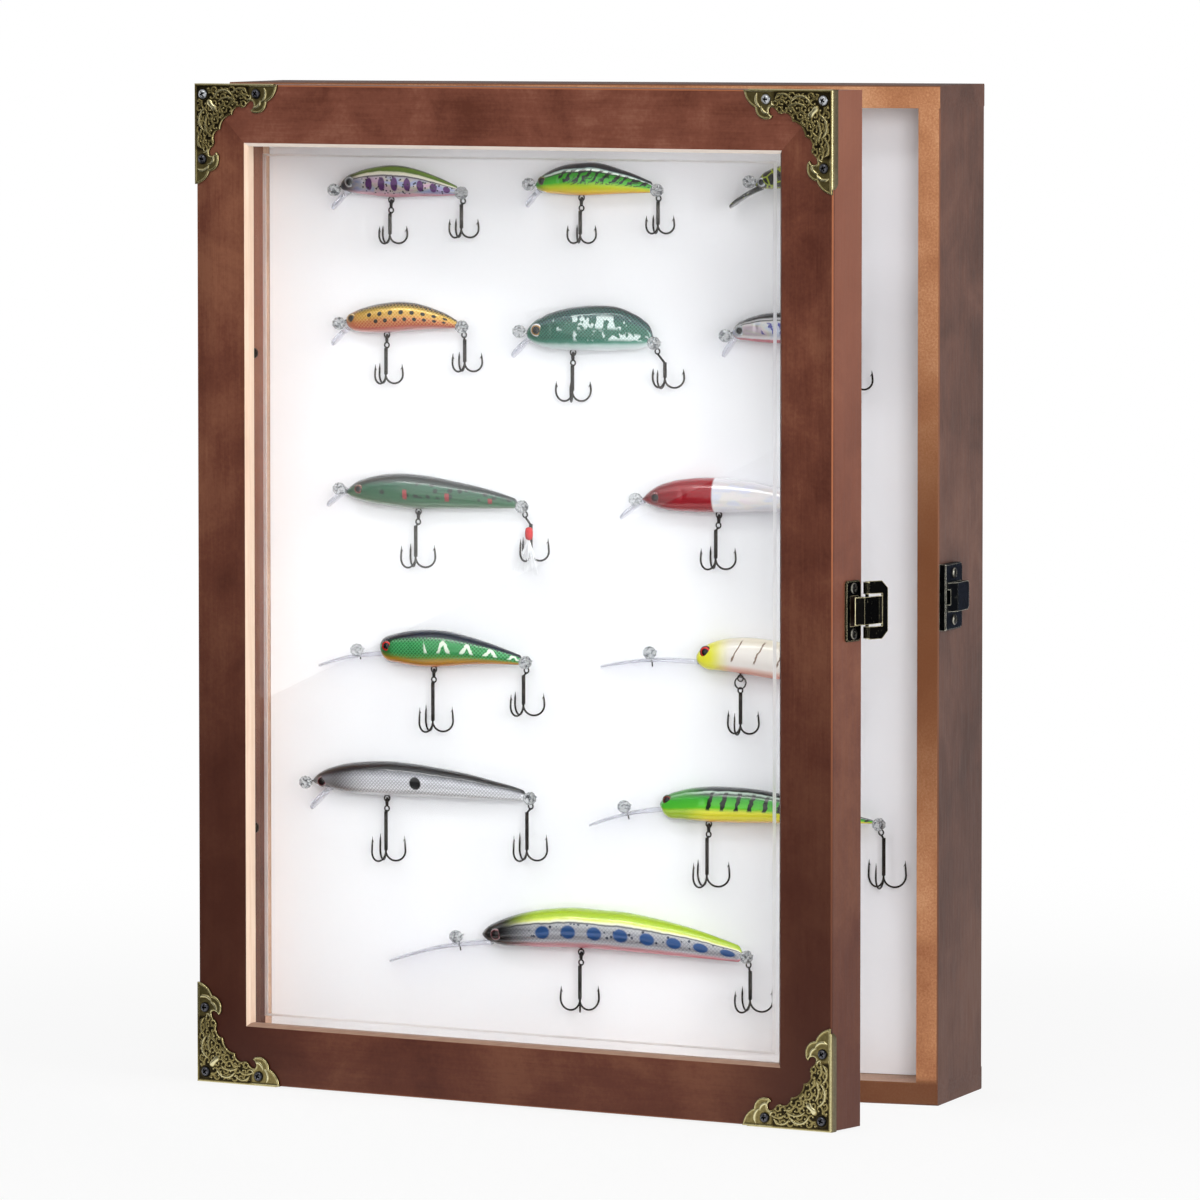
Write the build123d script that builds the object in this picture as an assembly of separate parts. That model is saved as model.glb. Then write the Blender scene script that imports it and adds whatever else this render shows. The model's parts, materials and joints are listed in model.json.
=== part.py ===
from build123d import *
import math
import os

# Fishing lure display case, in millimetres.
# The origin is the centre of the case's underside. The front faces -Y, and +Z is up.
# The door is modelled shut and then swung to its resting angle about the hinge pins.

os.makedirs("parts", exist_ok=True)

# ---------------------------------------------------------------- driving dimensions
HEIGHT = 406.0  # case and door, 16 in
WIDTH = 302.0
CASE_DEPTH = 60.0
WALL = 9.0
DOOR_T = 22.0
DOOR_GAP = 1.0  # between the shut door and the case
DOOR_OPEN_DEG = 13.7  # the resting angle of the door
EDGE_ROUND = 0.8

RAIL_W = 24.8  # outer edge to sight edge
SIGHT_CHAMFER = 1.4
LIP_DEPTH = 4.8
REBATE_W = 6.8
GLASS_T = 2.0
GLASS_EDGE_GAP = 0.4
ARRIS_W = 1.2  # the glass's ground edge, hidden in the rebate
ARRIS_DEPTH = 0.25
GLASS_FRONT = LIP_DEPTH + 0.02  # depth of the glass's front face behind the lip

BACK_RECESS = 3.5
PANEL_T = 3.0
BACK_REBATE = 4.5
BOARD_SETBACK = 22.0
BOARD_T = 6.0
BOARD_CLEARANCE = 0.2
BATTEN_W = 10.0

HANGER_W = 44.0
HANGER_H = 7.5
HANGER_T = 0.8
HANGER_RISE = 2.0
HANGER_X = 80.0
HANGER_NAIL_X = 19.0
HANGER_TEETH = 9
HANGER_FOOT = 6.5  # length of each flat foot
HANGER_RAMP = 3.0
HANGER_TOOTH = 1.8
HANGER_NAIL = (1.5, 0.7, 0.6, 10.0)  # head radius and height, shank radius, length
PANEL_SCREW = (2.6, 1.5, 1.2, 14.0)

POINT_W = 4.5
POINT_T = 0.6
POINT_OUT = 7.6  # out of the rebate's wall, a little past the sight edge
POINT_DRIVEN = 5.0
POINT_HEIGHTS = (104.5, 297.0)

KNUCKLE_R = 2.0
HINGE_PIN_R = 0.9
HINGE_FIT = 0.05
HINGE_LEN = 38.0
HINGE_LEAF_W = 8.0
HINGE_LEAF_T = 1.0
HINGE_KNUCKLES = 3
KNUCKLE_SIDES = 12
KNUCKLE_GAP = 0.3
HINGE_HEIGHTS = (74.0, 332.0)
HINGE_SCREW_STEPS = (-13.0, 0.0, 13.0)
HINGE_SCREW = (1.7, 0.9, 0.9, 10.0)
HINGE_PIN_END = 0.4  # of the pin past the last knuckle

CORNER_REACH = 40.3  # of each leg from the corner
CORNER_T = 0.9
FLANGE_T = 0.6
FLANGE_W = 3.2
CORNER_SCREWS = ((3.9, 3.9), (30.1, 3.6), (3.6, 30.1))
CORNER_RELIEF = 0.5
CORNER_SCREW = (2.0, 1.3, 1.05, 11.0)

LATCH_Z = 203.0
LATCH_HALF = 11.9  # half height of the door's latch plate
LATCH_PIN_S = 21.4  # behind the door's front face
LATCH_PIN_P = 2.7  # proud of the door's side face
LATCH_PIN_R = 0.7
LATCH_FIT = 0.05
LATCH_SCREW_Z = 8.9
LATCH_SCREW_S = 14.0
LATCH_SCREW = (2.1, 1.1, 1.05, 9.0)
PLATE_T = 1.1
PLATE_EDGE = 0.35  # chamfer round the plate's face
PLATE_FRONT = 9.0
PLATE_REAR = 19.5
PLATE_SLOT = (11.6, 17.4)  # front and rear of the slot under the tongue
PLATE_SLOT_HALF = 5.9
LUG_LOWS = (-5.2, 2.8)
LUG_W = 2.4
LUG_R = 1.3
LEAF_TILT = 17.0
LEAF_T = 0.9
LEAF_HALF = 11.4
LEAF_SLOT = 6.8  # from the pin to the far side of the opening between the arms
LEAF_RUN = 9.6
BARREL_R = 1.5
BARREL_W = 4.6
BARREL_LOWS = (-11.0, 6.4)
TONGUE_HALF = 5.4
TONGUE_TOP = 5.3
TOOTH_HALF = 2.3
TOOTH_FRONT = 25.2
SPRING_WIRE_R = 0.25
SPRING_COIL_R = 1.1
SPRING_SIDES = 8  # straight runs to a turn
SPRING_TURNS = 4.5
SPRING_PITCH = 1.0
SPRING_LOW_LEG = 3.4
SPRING_HIGH_LEG = 0.8

KEEPER_HALF = 13.2
KEEPER_TAB_T = 2.8
KEEPER_TOP = 5.6
KEEPER_CHANNEL = 5.75
KEEPER_SCREW_Z = 9.3
KEEPER_SCREW_S = 11.3
KEEPER_SCREW = (2.1, 1.1, 1.05, 8.5)
KEEPER_FRONT = 0.4  # behind the case's front edge
KEEPER_REAR = 22.6
KEEPER_ROUND = 2.2
KEEPER_EDGE = 0.4
KEEPER_TAIL = 23.4
KEEPER_WINDOW = (1.5, 4.2)  # front and rear of the tooth's window
KEEPER_WINDOW_HALF = 3.0

PIN_SHANK_R = 0.4
PIN_HEAD_R = 2.6
PIN_HEAD_T = 1.7
PIN_CUT = 0.9
PIN_SIDES = 6
PIN_STAND = 2.1  # of the head in front of the ring's middle
PIN_DRIVEN = 4.0
HOOK_R = 0.5

BODY_STATIONS = (0.0, 0.05, 0.17, 0.36, 0.6, 0.8, 1.0)
BODY_SIDES = 8
BODY_GAP = 0.3
TAIL_SHARE = 0.28
EYE_R = 1.6
EYE_WIRE = 0.7
EYE_SIDES = 5
BEND_STEPS = 2  # straight runs in a hook's bend
LINK_R = 0.45
LIP_T = 1.0
LIP_ROOT = 3.0  # of the lip's length inside the body
POINT_RISE = 0.42  # height of a hook's points, as a share of the hook's

# ---------------------------------------------------------------- derived places
SIDE = WIDTH / 2
FRONT = -CASE_DEPTH / 2
REAR = CASE_DEPTH / 2
INNER = SIDE - WALL
DOOR_FRONT = FRONT - DOOR_GAP - DOOR_T
DOOR_BACK = FRONT - DOOR_GAP
DOOR_LOW = FLANGE_T
DOOR_HIGH = HEIGHT - FLANGE_T
BOARD_FRONT = FRONT + BOARD_SETBACK
BOARD_BACK = BOARD_FRONT + BOARD_T
HANGER_Z = HEIGHT - WALL - BATTEN_W / 2
PANEL_BACK = REAR - BACK_RECESS
PANEL_FRONT = PANEL_BACK - PANEL_T
HINGE_X = -SIDE - KNUCKLE_R - 0.2
HINGE_Y = FRONT - DOOR_GAP / 2
HINGE_AXIS = Axis((HINGE_X, HINGE_Y, 0), (0, 0, 1))

TIP_R = 0.05  # flat left on a point
HEAD_SIDES = 8
SHANK_SIDES = 4
BORE_SIDES = 6
SCREW_BORE = 1.25  # clearance for a 1.05 shank

FACE_FRONT = (90, 0, 0)  # turns a +Z part to face -Y
FACE_REAR = (-90, 0, 0)
FACE_RIGHT = (0, 90, 0)


# ---------------------------------------------------------------- helpers
def save(name, part):
    export_step(part, f"parts/{name}.step")


def swing(part):
    """Turns a door part from shut to the resting angle."""
    return part.rotate(HINGE_AXIS, -DOOR_OPEN_DEG)


def block(x0, x1, y0, y1, z0, z1):
    """A rectangular solid between two corners, given in either order."""
    box = Box(abs(x1 - x0), abs(y1 - y0), abs(z1 - z0))
    return Pos((x0 + x1) / 2, (y0 + y1) / 2, (z0 + z1) / 2) * box


def prism(points, z0, z1):
    """A polygon in plan, carried up from z0 to z1."""
    face = make_face(Polyline(*points, close=True))
    return Pos(0, 0, z0) * extrude(face, z1 - z0)


def rod(radius, low, high, x, y):
    """An upright cylinder."""
    return Pos(x, y, (low + high) / 2) * Cylinder(radius, high - low)


def group(parts):
    """Separate solids kept together in one node."""
    return Compound([solid for part in parts for solid in part.solids()])


def facets(rings):
    """A closed solid of flat faces between rings with the same number of points, the ends filled."""
    count = len(rings[0])
    faces = [Face(Wire.make_polygon(rings[0])), Face(Wire.make_polygon(rings[-1]))]
    for fore, aft in zip(rings, rings[1:]):
        for i in range(count):
            j = (i + 1) % count
            faces.append(Face(Wire.make_polygon([fore[i], fore[j], aft[j], aft[i]])))
    return Solid(Shell(faces))


def turned(profile, sides):
    """A many-sided bar up +Z through the given (radius, height) places."""
    turns = [2 * math.pi * (i + 0.5) / sides for i in range(sides)]
    return facets([[(r * math.cos(t), r * math.sin(t), z) for t in turns] for r, z in profile])


def round_screw(head_r, head_h, shank_r, length):
    """A round-head wood screw along -Z, its head's seat at z = 0."""
    head = turned([(head_r, 0), (0.85 * head_r, 0.6 * head_h), (0.45 * head_r, head_h)], HEAD_SIDES)
    return head + turned([(TIP_R, -length), (shank_r, 2 * shank_r - length), (shank_r, 0)], SHANK_SIDES)


def flat_screw(head_r, head_h, shank_r, length):
    """A countersunk wood screw along -Z, its flat head at z = 0."""
    shank = [(TIP_R, -length), (shank_r, 2 * shank_r - length), (shank_r, -head_h)]
    return turned(shank + [(head_r, 0)], HEAD_SIDES)


def bore(radius):
    """A cutter for a small clearance hole."""
    return turned([(radius, -10), (radius, 10)], BORE_SIDES)


def wire(points, radius, normal):
    """A three-sided wire along straight runs; the normal is square to its first run."""
    path = Polyline(*points)
    start = Plane(origin=points[0], x_dir=normal, z_dir=path % 0)
    return sweep(start * RegularPolygon(radius, 3), path=path, transition=Transition.RIGHT)


def oval(long_r, short_r, sides):
    """A flat many-sided oval, longer along X."""
    turns = [2 * math.pi * i / sides for i in range(sides)]
    return make_face(Polyline(*[(long_r * math.cos(t), short_r * math.sin(t)) for t in turns], close=True))


def chords(curves, steps):
    """A closed outline of straight runs along a chain of curves."""
    points = []
    for curve in curves:
        count = 1 if curve.geom_type == GeomType.LINE else steps
        points += [curve @ (i / count) for i in range(count)]
    return make_face(Polyline(*points, close=True))


# ---------------------------------------------------------------- case
def case_side(sign):
    """A side board with the back rebate, standing on the bottom board."""
    outer = sign * SIDE
    inner = sign * INNER
    notch = sign * (SIDE - WALL + BACK_REBATE)
    points = [(outer, FRONT), (inner, FRONT), (inner, PANEL_FRONT)]
    points += [(notch, PANEL_FRONT), (notch, REAR), (outer, REAR)]
    board = prism(points, WALL, HEIGHT - WALL)
    return fillet(board.edges().filter_by(Axis.Z).group_by(Axis.X)[0 if sign < 0 else -1], EDGE_ROUND)


def hinge_recess(y0, y1):
    """The shallow seats that two hinge leaves lie in, open at the board's outer face."""
    half = HINGE_LEN / 2 + 0.1
    far = -SIDE + HINGE_LEAF_W + 0.1
    return [block(-SIDE - 1, far, y0, y1, z - half, z + half) for z in HINGE_HEIGHTS]


def case_cap(z0, z1):
    """The top or bottom board, full width, with the back rebate between the sides."""
    board = block(-SIDE, SIDE, FRONT, REAR, z0, z1)
    long_edges = board.edges().filter_by(Axis.X)
    outer = long_edges.group_by(Axis.Z)[0 if z0 < WALL else -1]
    board = fillet(outer, EDGE_ROUND)
    notch = SIDE - WALL + BACK_REBATE
    low = WALL - BACK_REBATE
    return board - block(-notch, notch, PANEL_FRONT, REAR + 1, low, HEIGHT - low)


def board_battens():
    """Four strips between the back panel and the display board."""
    reach = INNER - BATTEN_W
    sides = [block(s * INNER, s * reach, BOARD_BACK, PANEL_FRONT, WALL, HEIGHT - WALL) for s in (-1, 1)]
    low = block(-reach, reach, BOARD_BACK, PANEL_FRONT, WALL, WALL + BATTEN_W)
    high = block(-reach, reach, BOARD_BACK, PANEL_FRONT, HEIGHT - WALL - BATTEN_W, HEIGHT - WALL)
    return group(sides + [low, high])


def display_board():
    half = INNER - BOARD_CLEARANCE
    low = WALL + BOARD_CLEARANCE
    return block(-half, half, BOARD_FRONT, BOARD_BACK, low, HEIGHT - low)


def back_panel():
    half = SIDE - WALL + BACK_REBATE - BOARD_CLEARANCE
    low = WALL - BACK_REBATE + BOARD_CLEARANCE
    return block(-half, half, PANEL_FRONT, PANEL_BACK, low, HEIGHT - low)


def panel_screw_places():
    """Six screws up the side battens and one in the middle of the low batten."""
    x = INNER - BATTEN_W / 2
    rows = (30.0, HEIGHT / 2, HEIGHT - 30.0)
    return [(s * x, z) for s in (-1, 1) for z in rows] + [(0.0, WALL + BATTEN_W / 2)]


def back_panel_screws():
    screw = round_screw(*PANEL_SCREW)
    return group(Location((x, PANEL_BACK, z), FACE_REAR) * screw for x, z in panel_screw_places())


def wall_hanger():
    """A sawtooth strip, bridged clear of the panel, with teeth along its lower edge."""
    half = HANGER_W / 2
    foot = half - HANGER_FOOT
    top = foot - HANGER_RAMP
    low = PANEL_BACK
    outer = [(-half, low), (-foot, low), (-top, low + HANGER_RISE)]
    outer += [(-x, y) for x, y in reversed(outer)]
    inner = [(x, y + HANGER_T) for x, y in reversed(outer)]
    strip = prism(outer + inner, -HANGER_H / 2, HANGER_H / 2)
    pitch = 2 * top / HANGER_TEETH
    for i in range(HANGER_TEETH):
        x = -top + (i + 0.5) * pitch
        tooth = [(x - pitch / 2, 0), (x, HANGER_TOOTH), (x + pitch / 2, 0)]
        face = Plane.XZ * make_face(Polyline(*tooth, close=True))
        cut = extrude(face, 20, both=True)
        strip -= Pos(0, low, -HANGER_H / 2) * cut
    return strip


def wall_hangers():
    strip = wall_hanger()
    return group(Pos(s * HANGER_X, 0, HANGER_Z) * strip for s in (-1, 1))


def hanger_nails():
    nail = round_screw(*HANGER_NAIL)
    seat = PANEL_BACK + HANGER_T
    xs = [s * HANGER_X + e * HANGER_NAIL_X for s in (-1, 1) for e in (-1, 1)]
    return group(Location((x, seat, HANGER_Z), FACE_REAR) * nail for x in xs)


# ---------------------------------------------------------------- butt hinges
def knuckle_spans(z, own_first):
    """The heights of every second knuckle of a hinge centred at z."""
    pitch = HINGE_LEN / HINGE_KNUCKLES
    low = z - HINGE_LEN / 2
    start = 0 if own_first else 1
    gap = KNUCKLE_GAP / 2
    return [(low + i * pitch + gap, low + (i + 1) * pitch - gap) for i in range(start, HINGE_KNUCKLES, 2)]


def hinge_leaf(z, y0, y1, own_first, hole_r):
    """One leaf, let into the wood, with its rolled knuckles."""
    leaf = block(-SIDE, -SIDE + HINGE_LEAF_W, y0, y1, z - HINGE_LEN / 2, z + HINGE_LEN / 2)
    for low, high in knuckle_spans(z, own_first):
        leaf += block(HINGE_X, -SIDE, y0, y1, low, high)
        leaf += Pos(HINGE_X, HINGE_Y, 0) * turned([(KNUCKLE_R, low), (KNUCKLE_R, high)], KNUCKLE_SIDES)
    leaf -= rod(hole_r, z - HINGE_LEN, z + HINGE_LEN, HINGE_X, HINGE_Y)
    return leaf


def hinge_screws(y, facing):
    """Three countersunk screws to a leaf, on the middle line of the board's edge."""
    screw = flat_screw(*HINGE_SCREW)
    x = -SIDE + WALL / 2
    places = [(x, y, z + step) for z in HINGE_HEIGHTS for step in HINGE_SCREW_STEPS]
    return [Location(place, facing) * screw for place in places]


def hinge_set():
    """The two leaf sets, the pins and the screws of both hinges."""
    case_leaves = []
    door_leaves = []
    pins = []
    for z in HINGE_HEIGHTS:
        case_leaves.append(hinge_leaf(z, FRONT, FRONT + HINGE_LEAF_T, True, HINGE_PIN_R))
        turning_r = HINGE_PIN_R + HINGE_FIT
        door_leaves.append(hinge_leaf(z, DOOR_BACK - HINGE_LEAF_T, DOOR_BACK, False, turning_r))
        reach = HINGE_LEN / 2 + HINGE_PIN_END
        pins.append(rod(HINGE_PIN_R, z - reach, z + reach, HINGE_X, HINGE_Y))
    case_screws = hinge_screws(FRONT, FACE_FRONT)
    door_screws = hinge_screws(DOOR_BACK, FACE_REAR)
    for screw in case_screws:
        case_leaves = [leaf - screw for leaf in case_leaves]
    for screw in door_screws:
        door_leaves = [leaf - screw for leaf in door_leaves]
    return case_leaves, door_leaves, pins, case_screws, door_screws


# ---------------------------------------------------------------- door frame
def moulding(length):
    """The frame moulding up +Z with mitred ends: width along +X from its outer edge, depth along +Y."""
    rear_w = RAIL_W - REBATE_W
    face_w = RAIL_W - SIGHT_CHAMFER
    points = [(0, 0), (face_w, 0), (RAIL_W, SIGHT_CHAMFER), (RAIL_W, LIP_DEPTH)]
    points += [(rear_w, LIP_DEPTH), (rear_w, DOOR_T), (0, DOOR_T)]
    bar = prism(points, 0, length)
    bar = fillet(bar.edges().filter_by(Axis.Z).group_by(Axis.X)[0], EDGE_ROUND)
    reach = RAIL_W + 5
    corner = [(0, 0), (reach, reach), (reach, -1), (-1, -1)]
    wedge = extrude(Plane.XZ * make_face(Polyline(*corner, close=True)), DOOR_T + 5, both=True)
    bar -= wedge
    return bar - Pos(0, 0, length) * mirror(wedge, about=Plane.XY)


def door_members():
    """Left stile, right stile, top rail and bottom rail, all of one moulding."""
    stile = moulding(DOOR_HIGH - DOOR_LOW)
    rail = moulding(WIDTH)
    left = Pos(-SIDE, DOOR_FRONT, DOOR_LOW) * stile
    right = Pos(SIDE, DOOR_FRONT, DOOR_HIGH) * Rot(0, 180, 0) * stile
    top = Pos(-SIDE, DOOR_FRONT, DOOR_HIGH) * Rot(0, 90, 0) * rail
    bottom = Pos(SIDE, DOOR_FRONT, DOOR_LOW) * Rot(0, -90, 0) * rail
    return left, right, top, bottom


def glass_pane():
    """Float glass with its front edge ground off all round."""
    inset = RAIL_W - REBATE_W + GLASS_EDGE_GAP
    half_w = SIDE - inset
    height = DOOR_HIGH - DOOR_LOW - 2 * inset
    back = DOOR_FRONT + GLASS_FRONT + GLASS_T
    step = DOOR_FRONT + GLASS_FRONT + ARRIS_DEPTH
    face_at = Plane(origin=(0, step, HEIGHT / 2), x_dir=(1, 0, 0), z_dir=(0, -1, 0))
    pane = block(-half_w, half_w, step, back, DOOR_LOW + inset, DOOR_HIGH - inset)
    wide = face_at * Rectangle(2 * half_w, height)
    narrow = face_at.offset(ARRIS_DEPTH) * Rectangle(2 * (half_w - ARRIS_W), height - 2 * ARRIS_W)
    return pane + loft([wide.face(), narrow.face()], ruled=True)


def glass_points():
    """Four thin round-nosed tabs driven into the stiles behind the glass."""
    length = POINT_OUT + POINT_DRIVEN
    rear = DOOR_FRONT + GLASS_FRONT + GLASS_T
    nose = length - POINT_W / 2
    half = POINT_W / 2
    tip = ThreePointArc((nose, -half), (length, 0), (nose, half))
    sides = [Line((nose, half), (0, half)), Line((0, half), (0, -half)), Line((0, -half), (nose, -half))]
    tab = extrude(Plane.XZ * chords([tip] + sides, 6), -POINT_T)
    start = SIDE - (RAIL_W - REBATE_W) + POINT_DRIVEN
    left = [Pos(-start, rear, z) * tab for z in POINT_HEIGHTS]
    right = [Pos(start, rear, z) * mirror(tab, about=Plane.YZ) for z in POINT_HEIGHTS]
    return group(left + right)


# ---------------------------------------------------------------- brass corners


def corner_half():
    """Half of the pierced outline, from the outer corner along one leg back to the diagonal."""
    edges = [
        Line((-FLANGE_T, -FLANGE_T), (CORNER_REACH, -FLANGE_T)),
        ThreePointArc((CORNER_REACH, -FLANGE_T), (39.2, 3.4), (35.1, 6.9)),
        ThreePointArc((35.1, 6.9), (33.0, 10.7), (29.6, 11.4)),
        ThreePointArc((29.6, 11.4), (28.0, 11.0), (27.3, 10.1)),
        ThreePointArc((27.3, 10.1), (28.8, 8.7), (28.3, 6.7)),
        ThreePointArc((28.3, 6.7), (26.8, 6.8), (25.4, 7.8)),
        ThreePointArc((25.4, 7.8), (24.3, 8.9), (23.0, 9.2)),
        ThreePointArc((23.0, 9.2), (19.6, 9.5), (18.1, 12.2)),
        ThreePointArc((18.1, 12.2), (15.8, 12.8), (14.0, 14.0)),
        Line((14.0, 14.0), (-FLANGE_T, -FLANGE_T)),
    ]
    return chords(edges, 3)


def crescent(start, outer, inner, end):
    """A raised crescent between two arcs that share their ends."""
    face = chords([ThreePointArc(start, outer, end), ThreePointArc(end, inner, start)], 3)
    bar = extrude(face, CORNER_T / 2 + CORNER_RELIEF, dir=(0, 0, 1))
    return Pos(0, 0, CORNER_T / 2) * bar


def corner_piece():
    """A pressed corner lying in XY, its back at z = 0, legs along +X and +Y, flanges turned down."""
    diagonal = Plane(origin=(0, 0, 0), x_dir=(0, 0, 1), z_dir=(1, -1, 0))
    half = extrude(corner_half(), CORNER_T)
    leg = block(-FLANGE_T, CORNER_REACH - 2.0, -FLANGE_T, 0, -FLANGE_W, 0)
    leg = chamfer(leg.edges().filter_by(Axis.Y).group_by(Axis.X)[-1].sort_by(Axis.Z)[0], 2.0)
    half += leg
    half += crescent((9.2, 5.6), (13.6, 2.0), (13.2, 3.6), (18.0, 4.6))
    half += crescent((18.4, 6.0), (22.2, 2.0), (22.3, 3.8), (26.2, 5.0))
    half += crescent((11.4, 9.2), (15.4, 6.4), (15.8, 7.8), (20.0, 8.2))
    whole = half + mirror(half, about=diagonal)
    boss = extrude(oval(3.4, 1.7, 10), CORNER_T / 2 + CORNER_RELIEF)
    whole += Pos(8.4, 8.4, CORNER_T / 2) * Rot(0, 0, 45) * boss
    for u, v in CORNER_SCREWS:
        whole -= Pos(u, v, 0) * bore(SCREW_BORE)
    return whole


def corner_frames():
    """Where each corner piece goes: its name, its mirroring and the door corner that it wraps."""
    for side_name, sx in (("left", -1), ("right", 1)):
        for end_name, sz in (("bottom", -1), ("top", 1)):
            z = DOOR_LOW if sz < 0 else DOOR_HIGH
            yield f"corner_{end_name}_{side_name}", sx, sz, z


def corner_pieces():
    """The four corners, each facing the front, mirrored to its own corner of the door."""
    upright = corner_piece().rotate(Axis.X, 90)
    for name, sx, sz, z in corner_frames():
        piece = upright
        if sx > 0:
            piece = mirror(piece, about=Plane.YZ)
        if sz > 0:
            piece = mirror(piece, about=Plane.XY)
        yield name, Pos(sx * SIDE, DOOR_FRONT, z) * piece


def corner_screws():
    screw = round_screw(*CORNER_SCREW)
    places = []
    for _, sx, sz, z in corner_frames():
        for u, v in CORNER_SCREWS:
            places.append((sx * (SIDE - u), DOOR_FRONT - CORNER_T, z - sz * v))
    return group(Location(place, FACE_FRONT) * screw for place in places)


# ---------------------------------------------------------------- snap latch on the door
def at_latch(part):
    """Moves a latch part from (proud, behind the door's face, height) to the door's right side."""
    return Pos(SIDE, DOOR_FRONT, LATCH_Z) * part


def latch_base():
    """The plate with a slot under the thumb tongue and two lugs that hold the pin."""
    near, far = PLATE_SLOT
    plate = block(0, PLATE_T, PLATE_FRONT, PLATE_REAR, -LATCH_HALF, LATCH_HALF)
    plate = chamfer(plate.edges().filter_by(Axis.X), 1.0)
    plate = chamfer(plate.faces().sort_by(Axis.X)[-1].edges(), PLATE_EDGE)
    plate -= block(-1, 3, near, far, -PLATE_SLOT_HALF, PLATE_SLOT_HALF)
    crest = LATCH_PIN_P + 0.6
    lug = [(0, far), (PLATE_T, far), (crest, LATCH_PIN_S - 1.15), (crest, LATCH_PIN_S), (0, LATCH_PIN_S)]
    for low in LUG_LOWS:
        plate += prism(lug, low, low + LUG_W)
        eye_ring = turned([(LUG_R, low), (LUG_R, low + LUG_W)], KNUCKLE_SIDES)
        plate += Pos(LATCH_PIN_P, LATCH_PIN_S, 0) * eye_ring
    plate -= rod(LATCH_PIN_R, -20, 20, LATCH_PIN_P, LATCH_PIN_S)
    for z in (-LATCH_SCREW_Z, LATCH_SCREW_Z):
        plate -= Pos(0, LATCH_SCREW_S, z) * Rot(0, 90, 0) * bore(SCREW_BORE)
    return plate


def latch_screws():
    screw = round_screw(*LATCH_SCREW)
    heights = (-LATCH_SCREW_Z, LATCH_SCREW_Z)
    return group(at_latch(Location((PLATE_T, LATCH_SCREW_S, z), FACE_RIGHT) * screw) for z in heights)


def latch_pin():
    return rod(LATCH_PIN_R, -11.2, 11.2, LATCH_PIN_P, LATCH_PIN_S)


def latch_spring():
    """A torsion spring round the pin, with one leg on the plate and one under the tongue."""
    height = SPRING_PITCH * SPRING_TURNS
    steps = round(SPRING_TURNS * SPRING_SIDES)
    path = [(-SPRING_COIL_R, -SPRING_LOW_LEG, 0)]
    for i in range(steps + 1):
        turn = math.pi - 2 * math.pi * i / SPRING_SIDES
        path.append((SPRING_COIL_R * math.cos(turn), SPRING_COIL_R * math.sin(turn), height * i / steps))
    path.append((SPRING_COIL_R, -SPRING_HIGH_LEG, height))
    return Pos(LATCH_PIN_P, LATCH_PIN_S, -height / 2) * wire(path, SPRING_WIRE_R, (1, 0, 0))


def latch_lever():
    """A pressed leaf: two rolled knuckles, tilted arms, a chamfered end, a thumb tongue and a tooth."""
    tilt = math.radians(LEAF_TILT)
    along = (math.sin(tilt), math.cos(tilt))  # proud and rearward parts of the leaf's run
    lift = (math.cos(tilt), -math.sin(tilt))  # out of the leaf's face

    def on_leaf(run, off):
        proud = LATCH_PIN_P + run * along[0] + off * lift[0]
        back = LATCH_PIN_S + run * along[1] + off * lift[1]
        return proud, back

    top = BARREL_R
    under = top - LEAF_T
    root = LEAF_SLOT + 0.2
    arm = [on_leaf(0, top), on_leaf(root, top), on_leaf(root, under), on_leaf(0, under)]
    cross = [on_leaf(LEAF_SLOT, top), on_leaf(LEAF_RUN, top)]
    cross += [on_leaf(LEAF_RUN, under), on_leaf(LEAF_SLOT, under)]
    lever = prism(cross, -LEAF_HALF, LEAF_HALF)
    for low in BARREL_LOWS:
        inner = min(abs(low), abs(low + BARREL_W))
        lever += prism(arm, *((inner, LEAF_HALF) if low > 0 else (-LEAF_HALF, -inner)))
        barrel = turned([(BARREL_R, low), (BARREL_R, low + BARREL_W)], KNUCKLE_SIDES)
        lever += Pos(LATCH_PIN_P, LATCH_PIN_S, 0) * barrel
    low_face = TONGUE_TOP - LEAF_T
    tongue = [(TONGUE_TOP, 15.5), (TONGUE_TOP, 27.2), (low_face, 27.2), (low_face, 15.9)]
    tongue += [(2.6, 13.1), (2.6, 12.6)]
    lever += prism(tongue, -TONGUE_HALF, TONGUE_HALF)
    join = LEAF_SLOT + 0.6
    bridge = [(TONGUE_TOP, 26.2), on_leaf(join, top), on_leaf(join, under), (low_face, 26.6)]
    lever += prism(bridge, -TONGUE_HALF, TONGUE_HALF)
    back = TOOTH_FRONT + 1.2
    tooth = [(4.6, TOOTH_FRONT), (1.2, TOOTH_FRONT), (1.2, TOOTH_FRONT + 0.7), (2.0, back), (4.6, back)]
    lever += prism(tooth, -TOOTH_HALF, TOOTH_HALF)
    for sign in (-1, 1):
        cut = [(sign * 11.6, 27.0), (sign * 11.6, 35.0), (sign * 7.6, 35.0), (sign * 7.6, 31.0)]
        face = Plane.YZ * make_face(Polyline(*[(back, z) for z, back in cut], close=True))
        lever -= extrude(face, 12)
    return lever - rod(LATCH_PIN_R + LATCH_FIT, -20, 20, LATCH_PIN_P, LATCH_PIN_S)


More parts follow.
